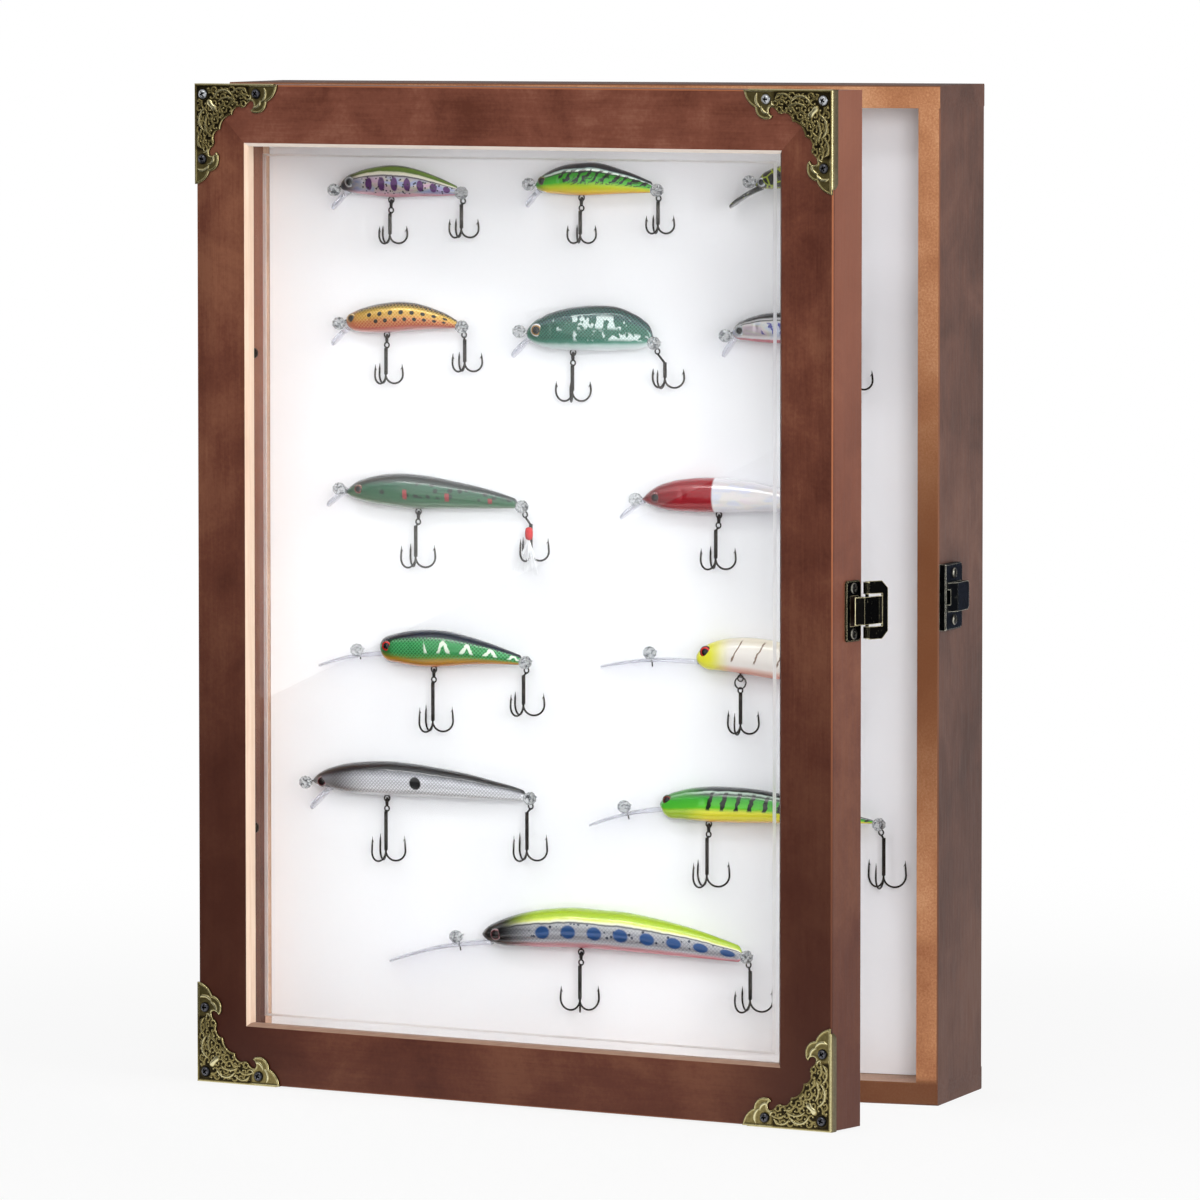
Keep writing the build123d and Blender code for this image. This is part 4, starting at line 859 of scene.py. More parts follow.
def eye_points(lure, side):
    """A shallow dome: distance from the middle times (cos, sin), raised by the root of 1 minus its square."""
    share = (lure.eye[0] - lure.nose[0]) / (lure.tail[0] - lure.nose[0])
    _, z, high, wide = section(lure, np.array([share]))
    level = np.clip((lure.eye[1] - z[0]) / high[0], -0.8, 0.8)
    seat = wide[0] * math.sqrt(1 - level ** 2) - 0.12 * lure.eye_size
    far = np.linspace(0, 1, 12)[:, None]
    turn = np.linspace(0, 2 * np.pi, 28, endpoint=False)[None, :]
    lift = seat + 0.3 * lure.eye_size * np.sqrt(np.clip(1 - far ** 2, 0, 1))
    points = np.stack(np.broadcast_arrays(lure.eye[0] + lure.eye_size * far * np.cos(turn), lure.y + side * lift,
                                          lure.eye[1] + lure.eye_size * far * np.sin(turn)), axis=-1)
    under = points[-1:].copy()
    under[..., 1] = lure.y + side * (seat - 0.6 * lure.eye_size)
    return np.concatenate([points, under]) * MM, np.stack(np.broadcast_arrays(far, 0 * turn), axis=-1)


def lip_points(lure):
    """A clear bill: flat ovals from the chin to its end, widening, then closing in a half round, and slightly
    cupped."""
    root, end = lure.lip_root, lure.lip_end
    root = root + 1.6 * (root - end) / np.linalg.norm(root - end)
    length = np.linalg.norm(end - root)
    share = 1 - (1 - np.linspace(0, 1, 40)) ** 1.6
    bow = 0.04 * length * np.sin(share * np.pi)
    run = (end - root) / length
    square = np.array([run[1], -run[0]])
    line = root + share[:, None] * (end - root) + bow[:, None] * square
    centre = np.stack([line[:, 0], np.full(40, lure.y), line[:, 1]], axis=-1)
    half = 0.2 * lure.thick + 0.25 * lure.thick * smooth_step(0.1, 0.75, share)
    tip = 0.45 * lure.thick / length
    half = half * np.sqrt(np.clip(1 - (np.clip((share - 1 + tip) / tip, 0, 1)) ** 2, 0, 1))
    thick = np.minimum(1.15 - 0.6 * share, half)
    return rings(centre * MM, (0, 1, 0), (square[0], 0, square[1]), half * MM, thick * MM, 24, 3.0)


def wire(steel, path, radius, normal=(0, 1, 0), sides=8):
    """Adds a round wire along a path in millimetres."""
    steel.grid(tube(np.asarray(path) * MM, np.asarray(radius) * MM, normal, sides))


def eyelet(steel, x, y, z, radius, axis, thick, sides=8, turns=1.0, rise=0.0):
    """Adds a wire ring or coil round a place in millimetres."""
    wire(steel, hoop((x, y, z), radius, axis, turns, rise), thick, axis, sides)


def hook_wire(foot, low, reach, tip, top, turn, steel):
    """One bend of a treble: down the shank, round a half circle, up to the point, thinning at its end, with a barb."""
    out = np.array([math.cos(turn), math.sin(turn), 0.0])
    up = np.array([0, 0, 1.0])
    centre = np.array([foot[0], foot[1], 0])
    bend = reach / 2
    shank = np.stack([np.full(6, 0.42), np.linspace(top, low + 0.4, 6)], axis=-1)
    angle = np.linspace(np.pi, 2 * np.pi, 16)
    half = np.stack([bend + bend * np.cos(angle), low + bend * np.sin(angle)], axis=-1)
    rise = np.stack([reach - 0.35 * np.linspace(0.15, 1, 6), np.linspace(low + 1.0, tip, 6)], axis=-1)
    flat = np.concatenate([shank, half, rise])
    normal = np.array([-out[1], out[0], 0])
    radius = WIRE_R * np.concatenate([np.ones(24), np.linspace(0.92, 0.16, 4)])
    wire(steel, centre + flat[:, :1] * out + flat[:, 1:] * up, radius, normal)
    barb = np.array([reach - 0.3, tip - 1.4]) + np.linspace(0, 1, 3)[:, None] * np.array([-0.75, -1.0])
    wire(steel, centre + barb[:, :1] * out + barb[:, 1:] * up, [0.24, 0.16, 0.05], normal, 6)


def treble(lure, hook, steel, split):
    """A body eye, a split ring, and three bends below a ringed shank."""
    ring_x, ring_z, foot_x, foot_z, reach, turn = hook
    turns = [math.radians(turn + step) for step in (0, 120, 240)]
    widest = reach * max(math.sin(angle) for angle in turns)
    foot_y = min(lure.y, BOARD_FRONT / MM - BODY_GAP - WIRE_R - widest)
    low = foot_z + reach / 2
    tip = foot_z + 0.42 * (ring_z - foot_z)
    eyelet(steel, ring_x, lure.y, ring_z + 0.9, 1.25, (0.2, 1, 0), 0.3)
    way = (0.1, 1, 0) if split > 2 else (0.8, 0.5, 0)
    eyelet(steel, ring_x, lure.y, ring_z - 0.4 * split, split, way, 0.25, 6, 2.0, 0.62)
    eye_z = ring_z - split - 1.6
    lean = (foot_y - lure.y) / max(eye_z - low, 1)
    eye_x, eye_y = foot_x + (ring_x - foot_x) * 0.8, lure.y + 0.5 * lean
    eyelet(steel, eye_x, eye_y, eye_z, 1.1, (0.25, 1, 0), 0.32)
    top = eye_z - 1.0 - 1.1 * abs(foot_x - eye_x)
    for angle in turns:
        hook_wire((foot_x, foot_y), low, reach, tip, top, angle, steel)
    heights = (top - 0.3, low + 3.2, low + 1.4, low + 0.6)
    collar = [[eye_x, eye_y, eye_z - 0.9]] + [[foot_x, foot_y, height] for height in heights]
    wire(steel, collar, [0.42, 0.45, 0.5, 0.5, 0.2], sides=10)


def fittings(lure, steel):
    """The nose eye and its wire, the belly hanger, and the tail eye with its stem."""
    y = lure.y
    tie, nose, tail = np.array(lure.tie), lure.nose, lure.tail
    eyelet(steel, tie[0], y, tie[1], 1.15, (0.1, 1, 0), 0.3)
    gap = tie - nose
    if np.linalg.norm(gap) > LONG_TIE:
        bill = lure.lip_end - lure.lip_root
        nose = lure.lip_root + bill * ((tie - lure.lip_root) @ bill) / (bill @ bill)
        gap = tie - nose
    arm = nose + np.linspace(-0.3, 1, 6)[:, None] * gap * (1 - 1.1 / max(np.linalg.norm(gap), 1.2))
    wire(steel, np.stack([arm[:, 0], np.full(6, y), arm[:, 1]], axis=-1), 0.3)
    belly, rear = lure.hooks
    middle = (tail[0] + rear[0]) / 2
    wire(steel, [[tail[0] - 1.0, y, tail[1]], [middle, y, tail[1]], [rear[0] - 0.6, y, rear[1] + 0.9]], 0.32)
    wire(steel, [[belly[0], y, belly[1] + height] for height in (1.8, 3.0, 4.2)], [0.34, 0.5, 0.6])
    treble(lure, belly, steel, lure.split)
    treble(lure, rear, steel, 1.7)


def pin(lure, place, clear):
    """A clear pin: a round head of staggered facets in front of the ring and a shank into the board."""
    x, z = place
    stand = [-2.9, -2.45, -1.7, -0.9, -0.1, 0.35]
    wide = [1.15, 2.1, 2.85, 2.9, 2.15, 0.6]
    sides = 9
    turn = 2 * np.pi * (np.arange(sides)[None, :] + 0.5 * (np.arange(6)[:, None] % 2)) / sides
    radius = np.array(wide)[:, None]
    depth = lure.y - 1.2 + np.array(stand)[:, None]
    head = np.stack(np.broadcast_arrays(x + radius * np.cos(turn), depth, z + 0.92 * radius * np.sin(turn)), axis=-1)
    clear.grid(head * MM)
    wire(clear, [[x, lure.y - 1.0, z], [x, BOARD_FRONT / MM + 3.0, z]], 0.4, (1, 0, 0))


LURES = [
    Lure("lure_silver_minnow",
         [(-108.8, 365.0), (-105.7, 368), (-102.4, 369.3), (-97.5, 370.9), (-92.1, 371.9), (-86.7, 372.4),
          (-81.3, 372), (-75.9, 370.8), (-70.5, 369.1), (-65.1, 367.1), (-58.0, 363.9)],
         [(-108.8, 362.4), (-103, 360.9), (-97.6, 360.3), (-86.7, 359.3), (-75.9, 359.7), (-65.1, 360),
          (-58.0, 360.4)],
         9.0, (-110.9, 362.2), ((-106.3, 360.6), (-112.4, 354.4)),
         ((-86.9, 357.4, -87.2, 340.7, 7.2, 14), (-55.8, 361.4, -56.1, 343.4, 7.2, 8)), (-103.8, 365.5), 2.2, "8c9096",
         paint_silver_minnow),
    Lure("lure_green_shiner",
         [(-24.6, 365.9), (-21, 369.2), (-16.7, 371.5), (-11.4, 373.2), (-5, 374), (0.3, 374.2), (5.7, 373.3),
          (11, 371.7), (16.3, 370), (25.4, 366.3)],
         [(-24.6, 363.4), (-19.4, 361.7), (-14.1, 361.2), (-7.1, 360.8), (3, 361.1), (11, 361.6), (25.4, 362.2)],
         9.0, (-26.8, 365.2), ((-24.0, 361.4), (-28.5, 356)),
         ((-5.0, 359.0, -5.0, 341.7, 6.8, 0), (27.8, 363.2, 28.0, 345.9, 6.8, 5)), (-20.8, 366.6), 1.9, "5c3c1c",
         paint_green_shiner, "8c9a6c"),
    Lure("lure_black_crackle",
         [(69.2, 366.2), (71.5, 369.6), (75, 371.9), (79.3, 373.4), (85, 374.2), (91, 373.2), (97, 370.4),
          (103.4, 366.8)],
         [(69.2, 364.8), (73, 364.2), (79.3, 364.3), (88, 364.1), (96, 364.5), (103.4, 365.2)],
         9.4, (67.0, 367.0), ((70.1, 363.9), (58.1, 356.6)),
         ((88.0, 363.0, 88.0, 346.0, 7.0, 10), (105.6, 365.4, 105.2, 348.0, 6.8, 8)), (72.6, 366.9), 1.9, "b8bcc0",
         paint_black_crackle),
    Lure("lure_gold_trout",
         [(-106.4, 311), (-102, 313.2), (-95.9, 315.2), (-89, 316.5), (-82.9, 317), (-76, 316.4), (-69.1, 314.5),
          (-63, 312.2), (-58.0, 309.4)],
         [(-106.4, 307.6), (-104, 305.6), (-100, 304.5), (-95.9, 304.2), (-89, 304.3), (-80.3, 305.1), (-71.7, 305.8),
          (-58.0, 306.5)],
         9.4, (-108.8, 308.0), ((-107.0, 304.6), (-112.5, 299.1)),
         ((-88.8, 302.6, -89.0, 283.8, 7.0, 12), (-55.6, 307.2, -54.7, 289.2, 7.3, 8)), (-103.0, 310.1), 2.0, "7c5c34",
         paint_gold_trout, "d8b880"),
    Lure("lure_humpback",
         [(-28.2, 306.2), (-25.5, 309.2), (-20.8, 312.1), (-12.4, 315), (-4.6, 316.2), (4, 316.6), (11.2, 315.9),
          (16.8, 313.8), (21.4, 311.2), (24.6, 308.0), (26.0, 304.6)],
         [(-28.2, 303.4), (-25.0, 301.2), (-19.1, 299.2), (-12.3, 298.5), (0.5, 298.3), (13.3, 298.9), (21.9, 300.0),
          (26.0, 301.8)],
         11.0, (-30.6, 305.8), ((-27.7, 301.9), (-34.2, 295.3)),
         ((-8.3, 296.6, -8.4, 277.8, 8.2, 164), (26.9, 301.8, 30.8, 283.8, 7.9, 27)), (-22.5, 306.5), 2.7, "a87c34",
         paint_humpback, "e2e6ea"),
    Lure("lure_red_belly",
         [(59.2, 307.4), (61, 309.7), (64.5, 311.7), (70, 313.6), (79.4, 314.8), (86, 314.6), (93, 312.8),
          (100, 309.4), (108.0, 304.8)],
         [(59.2, 305.6), (61, 304.2), (66, 303.2), (72, 302.6), (79.5, 302.3), (90, 302), (100, 302.2),
          (108.0, 302.7)],
         9.4, (57.0, 305.2), ((60.9, 304.4), (55.4, 296.7)),
         ((87.6, 299.8, 87.6, 280.0, 7.2, 10), (110.6, 302.6, 110.8, 284.4, 7.2, 8)), (63.4, 307.4), 2.2, "9ca0a6",
         paint_red_belly),
    Lure("lure_feather_tail",
         [(-106.2, 240.1), (-102.1, 243.2), (-97, 245.2), (-92.4, 246.3), (-82.6, 247.2), (-72.8, 246.6),
          (-59.9, 244.5), (-49.1, 242.4), (-38.3, 239.6), (-32.4, 237.7)],
         [(-106.2, 238.3), (-102.2, 236.6), (-95.6, 235), (-86.9, 233.8), (-76.1, 232.9), (-65.3, 233.1),
          (-49.1, 233.5), (-32.4, 234.0)],
         10.6, (-108.6, 240.6), ((-107.0, 239.0), (-114.4, 233.4)),
         ((-75.0, 231.0, -75.6, 209.3, 8.3, 5), (-29.6, 234.8, -26.5, 212.9, 7.4, 15)), (-99.5, 240.7), 2.0, "6c2c20",
         paint_feather_tail, "8c7464"),
    Lure("lure_red_head",
         [(21.6, 239.6), (27, 243.7), (34.4, 246.4), (42.9, 247.7), (53.5, 248), (64.1, 247.2), (74.7, 245.4),
          (85, 242.8), (95, 239.4), (102.0, 236.6)],
         [(21.6, 238.3), (25.9, 236.1), (32.3, 234.7), (42.9, 234.1), (53.5, 234), (64.1, 234.3), (78.9, 234.9),
          (92, 234.4), (102.0, 234.2)],
         11.4, (19.2, 238.8), ((21, 237.3), (12.2, 230.8)),
         ((53.9, 232.2, 53.1, 211.4, 8.4, 3), (104.8, 234.4, 105.0, 213.0, 8.2, 8)), (28.3, 239.9), 2.1, "5c0a10",
         paint_red_head, "8c5054"),
    Lure("lure_orange_belly",
         [(-91.8, 178.6), (-89.5, 180.3), (-85.9, 181.6), (-80, 182.9), (-76.2, 183.4), (-70, 183.8), (-63.2, 183.4),
          (-53.4, 181.4), (-42.6, 178.4), (-30.4, 174.2)],
         [(-91.8, 174.4), (-89.2, 171.5), (-84, 170.0), (-80.5, 169.4), (-71.9, 168.6), (-65.4, 168.8), (-53.5, 169.9),
          (-42.7, 170.4), (-30.4, 170.4)],
         10.6, (-101.0, 174.9), ((-91.4, 173.4), (-118.4, 168.0)),
         ((-68.4, 166.8, -68.4, 142.5, 8.4, 10), (-28.2, 171.6, -29.3, 150.1, 8.6, 13)), (-87.6, 177.0), 2.3, "d41a14",
         paint_orange_belly, "4c1410"),
    Lure("lure_chartreuse_head",
         [(44.3, 177.0), (48.3, 180.3), (53.6, 182.5), (59.9, 183.7), (70.5, 183.8), (80, 182.4), (90, 179.2),
          (97, 176.0), (102.6, 173.4)],
         [(44.3, 174.0), (47.2, 171.6), (54.7, 170.4), (63.1, 169.5), (70.5, 168.5), (80.1, 167.5), (90, 168.2),
          (97, 169.6), (102.6, 171.2)],
         11.0, (25.2, 177.0), ((43.4, 173.6), (3.6, 170.7)),
         ((63.0, 166.6, 63.0, 145.0, 7.6, 30), (105.0, 171.2, 105.0, 149.0, 7.4, 10)), (49.4, 178.0), 2.5, "e01c12",
         paint_chartreuse_head, "701410", 2.4),
    Lure("lure_silver_scale",
         [(-121.0, 122.0), (-116.6, 124.9), (-108.9, 127.6), (-98, 129.2), (-89.3, 129.6), (-76.3, 128.8),
          (-65.4, 127.3), (-54.6, 125.6), (-43.8, 123.2), (-33, 120.6), (-28.6, 119.2)],
         [(-121.0, 119.6), (-112.2, 117.8), (-106.8, 116.5), (-98, 115.8), (-81.7, 115.6), (-65.4, 115.4),
          (-49.2, 115.1), (-28.6, 114.8)],
         11.0, (-123.4, 120.2), ((-113.4, 117.6), (-121.7, 109.3)),
         ((-88.8, 113.6, -88.8, 89.1, 8.2, 7), (-26.2, 116.4, -27.8, 91.1, 8.4, 10)), (-115.9, 120.9), 2.2, "4c1218",
         paint_silver_scale, "9c8c90"),
    Lure("lure_barred_minnow",
         [(28.9, 117.2), (32.4, 119.6), (38.8, 121.8), (49.4, 123.4), (60, 123.5), (70.6, 122.8), (79.6, 121.5),
          (92, 118.8), (104, 115.6), (114, 113.0), (119.4, 111.8)],
         [(28.9, 114.2), (31.3, 111.4), (38.8, 109.8), (49.4, 109.2), (60, 109.1), (79.6, 109.6), (95, 110.0),
          (110, 110.3), (119.4, 110.5)],
         11.2, (14.4, 114.4), ((29.5, 113.5), (-1.2, 106.1)),
         ((49.7, 107.4, 49.4, 83.1, 9.2, 12), (121.8, 110.4, 123.1, 85.0, 9.2, 28)), (33.0, 117.7), 2.1, "7c141c",
         paint_barred_minnow, "3c5c24"),
    Lure("lure_long_minnow",
         [(-47.2, 62.0), (-42.7, 64.8), (-33, 68.7), (-24.4, 70.8), (-15.8, 72), (-7.2, 72.5), (3.5, 72), (14.2, 71.4),
          (24.9, 69.7), (35.6, 67.6), (46.3, 64.9), (56.9, 61.6), (64.1, 59.2)],
         [(-47.2, 59.0), (-43.8, 57.6), (-39.5, 56.4), (-28.7, 56.0), (-5, 56.2), (8.9, 55.8), (24.9, 55),
          (40.9, 54.1), (56.9, 53.2), (64.1, 52.8)],
         12.4, (-57.8, 59.2), ((-44.7, 57), (-87.2, 48.0)),
         ((-4.6, 53.6, -4.8, 30.8, 9.0, 170), (66.6, 55.2, 68.0, 33.2, 9.4, 8)), (-39.9, 60.9), 2.5, "500c14",
         paint_long_minnow, "8c7478"),
]


def dark_bill():
    """A black bill, rubbed yellow-green at its edges."""
    r = Recipe("black_bill")
    fleck = r.noise(r.place(), 500, 3)
    edge = r.edges(0.5 * MM, 0.02, 0.2)
    colour = r.mix(r.larger(edge, r.span(fleck, 0.6, 0.7)), rgb("0e0e0c"), rgb("8c9a24"))
    return r.shade(Base_Color=colour, Roughness=r.span(fleck, 0.3, 0.7, 0.2, 0.35), Coat_Weight=1.0,
                   Coat_Roughness=0.05, Normal=r.bump(fleck, 0.1, 0.1 * MM))


def make_lures():
    """Each lure's body, eyes, lip and steel, and the pins of all of them."""
    steel_look = brushed_metal("black_nickel", "2c2a30", 0.16, (1, 1, 1))
    lip_look = see_through("clear_lip", (0.84, 0.84, 0.9, 1), 1.45, 0.05, 0.84)
    pin_look = see_through("cut_clear_plastic", (0.97, 0.98, 0.99, 1), 1.4, 0.03, 0.7, 1000)
    clear = Surface()
    for lure in LURES:
        eye_look = lure_eye("eye_" + lure.name, lure.iris, lure.rim)
        skin = Surface()
        points, pattern = body_points(lure)
        skin.grid(points, pattern)
        for side in (-1, 1):
            dome, far = eye_points(lure, side)
            far = np.concatenate([far, far[-1:]])
            skin.grid(dome, far, slot=1)
        skin.build(lure.name + "_body", [lure.paint(), eye_look], "case", "lure_paint", [lure.name])
        lip_slot = "lure_paint" if lure.name == "lure_black_crackle" else "clear_plastic"
        lip_finish = dark_bill() if lure.name == "lure_black_crackle" else lip_look
        Surface().grid(lip_points(lure)).build(lure.name + "_lip", [lip_finish], "case", lip_slot, [lure.name])
        steel = Surface()
        fittings(lure, steel)
        steel.build(lure.name + "_hooks", [steel_look], "case", "lure_paint", [lure.name])
        pin(lure, lure.tie, clear)
        pin(lure, lure.hooks[1][:2], clear)
    clear.build("clear_pins", [pin_look], "case", "clear_plastic", ["lure_pins"], smooth=False)


# ---------------------------------------------------------------- brass corners
def arc(start, middle, end, steps=12):
    """Points along the circle through three points, by the angle at its centre."""
    a, b, c = (complex(*p) for p in (start, middle, end))
    w = (c - a) / (b - a)
    centre = a + (b - a) * (w - abs(w) ** 2) / (2j * w.imag)
    first, last = np.angle(a - centre), np.angle(c - centre)
    through = np.angle(b - centre)
    sweep = (last - first) % (2 * np.pi)
    if (through - first) % (2 * np.pi) > sweep:
        sweep -= 2 * np.pi
    turn = first + sweep * np.linspace(0, 1, steps)
    centre = np.array([centre.real, centre.imag])
    return centre + abs(a - complex(*centre)) * np.stack([np.cos(turn), np.sin(turn)], axis=-1)


INNER_EDGE = [
    ((CORNER_REACH, -0.6), (39.2, 3.4), (35.1, 6.9)),
    ((35.1, 6.9), (33.0, 10.7), (29.6, 11.4)),
    ((29.6, 11.4), (28.0, 11.0), (27.3, 10.1)),
    ((27.3, 10.1), (28.8, 8.7), (28.3, 6.7)),
    ((28.3, 6.7), (26.8, 6.8), (25.4, 7.8)),
    ((25.4, 7.8), (24.3, 8.9), (23.0, 9.2)),
    ((23.0, 9.2), (19.6, 9.5), (18.1, 12.2)),
    ((18.1, 12.2), (15.8, 12.8), (14.0, 14.0)),
]
RIDGES = [
    ((9.6, 5.4), (14.0, 2.2), (18.3, 4.3), 0.55),
    ((18.6, 3.8), (22.0, 1.5), (25.8, 3.4), 0.5),
    ((11.5, 6.9), (15.7, 5.2), (19.8, 6.4), 0.5),
    ((20.6, 5.4), (23.5, 4.0), (26.8, 4.6), 0.45),
    ((16.2, 9.2), (18.0, 7.4), (21.2, 7.6), 0.45),
    ((12.2, 11.2), (12.4, 9.2), (14.8, 8.6), 0.45),
    ((6.0, 1.6), (7.5, 2.8), (9.6, 1.8), 0.35),
    ((32.6, 6.8), (34.6, 4.4), (34.2, 1.4), 0.4),
    ((28.6, 9.0), (31.0, 8.6), (32.2, 6.4), 0.4),
]


def corner_outline():
    """The pierced plate's closed outline, one leg along each axis, mirrored about the diagonal."""
    leg = np.concatenate([arc(*part)[:-1] for part in INNER_EDGE] + [np.array([[14.0, 14.0]])])
    other = leg[::-1][1:, ::-1]
    return np.concatenate([[[0.0, 0.0], [CORNER_REACH, 0.0]], leg[leg[:, 1] > 0], other[other[:, 0] > 0],
                           [[0.0, CORNER_REACH]]])


def nearest(points, line):
    """For each point: its distance from a run of straight pieces and the nearest place on it."""
    a, b = line[:-1], line[1:]
    run = b - a
    t = ((points[:, None] - a) * run).sum(-1) / np.maximum((run ** 2).sum(-1), 1e-12)
    foot = a + np.clip(t, 0, 1)[..., None] * run
    far = np.linalg.norm(points[:, None] - foot, axis=-1)
    best = far.argmin(1)
    row = np.arange(len(points))
    return far[row, best], foot[row, best]


def inside(points, outline):
    """Whether each point is inside a closed outline, by counting the edges that a line to the right crosses."""
    a, b = outline, np.roll(outline, -1, axis=0)
    x, y = points[:, :1], points[:, 1:]
    crosses = (a[:, 1] > y) != (b[:, 1] > y)
    at = a[:, 0] + (y - a[:, 1]) * (b[:, 0] - a[:, 0]) / np.where(b[:, 1] == a[:, 1], 1e-9, b[:, 1] - a[:, 1])
    return (crosses & (x < at)).sum(1) % 2 == 1


def scrolls(outline):
    """C-shaped curls set out in staggered rows along a leg, each turned by the golden angle from the one before, and
    kept where they are clear of the outline and the screws."""
    places = np.array([(u, v) for row, v in enumerate((2.3, 4.9, 7.5, 10.2, 12.6))
                       for u in np.arange(6.9 + 1.5 * (row % 2), 26.6, 2.9)])
    places = places[places[:, 0] > places[:, 1] - 0.6]
    far, _ = nearest(places, np.vstack([outline, outline[:1]]))
    clear = np.min([np.linalg.norm(places - screw, axis=1) for screw in CORNER_SCREWS], axis=0)
    places = places[(far > 1.0) & (clear > 3.4)]
    lines = []
    for i, place in enumerate(places):
        angle = 2.4 * i + np.linspace(0, 4.6, 16)
        radius = np.linspace(1.5 + 0.3 * math.sin(2.1 * i), 0.75, 16)
        lines.append(place + radius[:, None] * np.stack([np.cos(angle), 0.85 * np.sin(angle)], axis=-1))
    return lines


def corner_relief(points, rim, outline):
    """Height over the plate: a rolled rim, a sunk field full of curls and longer ridges, round in section and thin at
    their ends, with a bead in each curl, and plain dished tips."""
    leg = points.max(1)
    field = smooth_step(27.4, 25.6, leg)
    height = 0.26 * smooth_step(0.0, 0.4, rim) - (0.18 + 0.14 * field) * smooth_step(0.5, 1.1, rim)
    lines = [(line, 0.3, 0.42) for line in scrolls(outline)]
    lines += [(arc(start, middle, end, 14), 0.42, tall) for start, middle, end, tall in RIDGES]
    for line, broad, tall in lines:
        for flip in (False, True):
            path = line[:, ::-1] if flip else line
            far, foot = nearest(points, path)
            ends = np.minimum(np.linalg.norm(foot - path[0], axis=1), np.linalg.norm(foot - path[-1], axis=1))
            wide = 0.2 + broad * smooth_step(0.0, 1.6, ends)
            height = np.maximum(height, tall * np.sqrt(np.clip(1 - (far / wide) ** 2, 0, 1)) - 0.02)
            if broad < 0.4:
                bead = np.linalg.norm(points - path[-1], axis=1)
                height = np.maximum(height, 0.5 * np.sqrt(np.clip(1 - (bead / 0.5) ** 2, 0, 1)))
    along = (points.sum(1) - 16.8) / math.sqrt(2)
    across = (points[:, 1] - points[:, 0]) / math.sqrt(2)
    boss = 1 - (along / 3.2) ** 2 - (across / (1.5 - 0.4 * np.cos(along * 1.2))) ** 2
    height = np.maximum(height, 0.8 * np.sqrt(np.clip(boss, 0, 1)))
    for place in CORNER_SCREWS:
        far = np.linalg.norm(points - place, axis=1)
        height = np.where(far < 2.7, 0.1 * smooth_step(2.0, 2.7, far), height)
    return height


def corner_plate():
    """A fine grid cut to the outline, its border moved onto it, with heights, a flat back and a rim between."""
    outline = corner_outline()
    step = 0.18
    count = int(CORNER_REACH / step) + 1
    u, v = np.meshgrid(np.arange(count + 1) * step, np.arange(count + 1) * step, indexing="ij")
    points = np.stack([u.ravel(), v.ravel()], axis=-1)
    centre = points.reshape(count + 1, count + 1, 2)[:-1, :-1].reshape(-1, 2) + step / 2
    used = inside(centre, outline)
    index = np.arange((count + 1) ** 2).reshape(count + 1, count + 1)
    quads = np.stack([index[:-1, :-1], index[1:, :-1], index[1:, 1:], index[:-1, 1:]], axis=-1).reshape(-1, 4)[used]
    edges = np.sort(np.stack([quads, np.roll(quads, -1, axis=1)], axis=-1).reshape(-1, 2), axis=1)
    pairs, times = np.unique(edges, axis=0, return_counts=True)
    border = pairs[times == 1]
    rim_index = np.unique(border)
    closed = np.vstack([outline, outline[:1]])
    _, points[rim_index] = nearest(points[rim_index], closed)
    kept, inverse = np.unique(quads, return_inverse=True)
    quads = inverse.reshape(-1, 4)
    lookup = np.zeros(len(points), dtype=int)
    lookup[kept] = np.arange(len(kept))
    border = lookup[border]
    points = points[kept]
    rim, _ = nearest(points, closed)
    outer = np.minimum(points[:, 0], points[:, 1])
    free = np.where(outer < 0.6, np.maximum(rim, 0.5), rim)
    height = corner_relief(points, np.minimum(free, 3.0), outline)
    return points, height, rim, quads, border


def door_corner(points, sx, sz):
    """Places (along x, along z, proud) of a corner, in millimetres, on the door's corner with those signs."""
    base = DOOR_LOW if sz < 0 else DOOR_HIGH
    x = sx * (SIDE - points[..., 0] * MM)
    y = DOOR_FRONT - points[..., 2] * MM
    z = base - sz * points[..., 1] * MM
    return on_door(np.stack([x, y, z], axis=-1))


def fold_points(leg):
    """The folded edge: a quarter round from the plate's face to a flange, carried along the leg and tapered at its
    end."""
    angle = np.linspace(0, np.pi / 2, 7)
    outer = np.stack([-0.35 * np.sin(angle), 0.57 + 0.35 * np.cos(angle)], axis=-1)
    inner = np.stack([-0.05 * np.sin(angle[::-1]), 0.05 + 0.05 * np.cos(angle[::-1])], axis=-1)
    ring = np.concatenate([outer, [[-0.35, -3.2]], [[-0.05, -3.2]], inner])
    along = np.array([-0.3, 0.4, 10.0, 20.0, 30.0, 36.2, 37.6, 38.4])
    short = np.array([0, 0, 0, 0, 0, 0, 1.0, 2.2])
    rows = np.repeat(ring[None], len(along), axis=0)
    rows[..., 1] = np.maximum(rows[..., 1], -3.2 + short[:, None])
    side = np.stack([np.broadcast_to(along[:, None], rows.shape[:2]), rows[..., 0], rows[..., 1]], axis=-1)
    if leg:
        side = side[..., [1, 0, 2]]
    bright = np.concatenate([np.linspace(0.75, 1.0, 4), np.linspace(0.95, 0.55, 3), [0.5, 0.3], np.zeros(7)])
    pattern = np.stack([np.zeros(rows.shape[:2]), np.broadcast_to(bright, rows.shape[:2])], axis=-1)
    return side, pattern


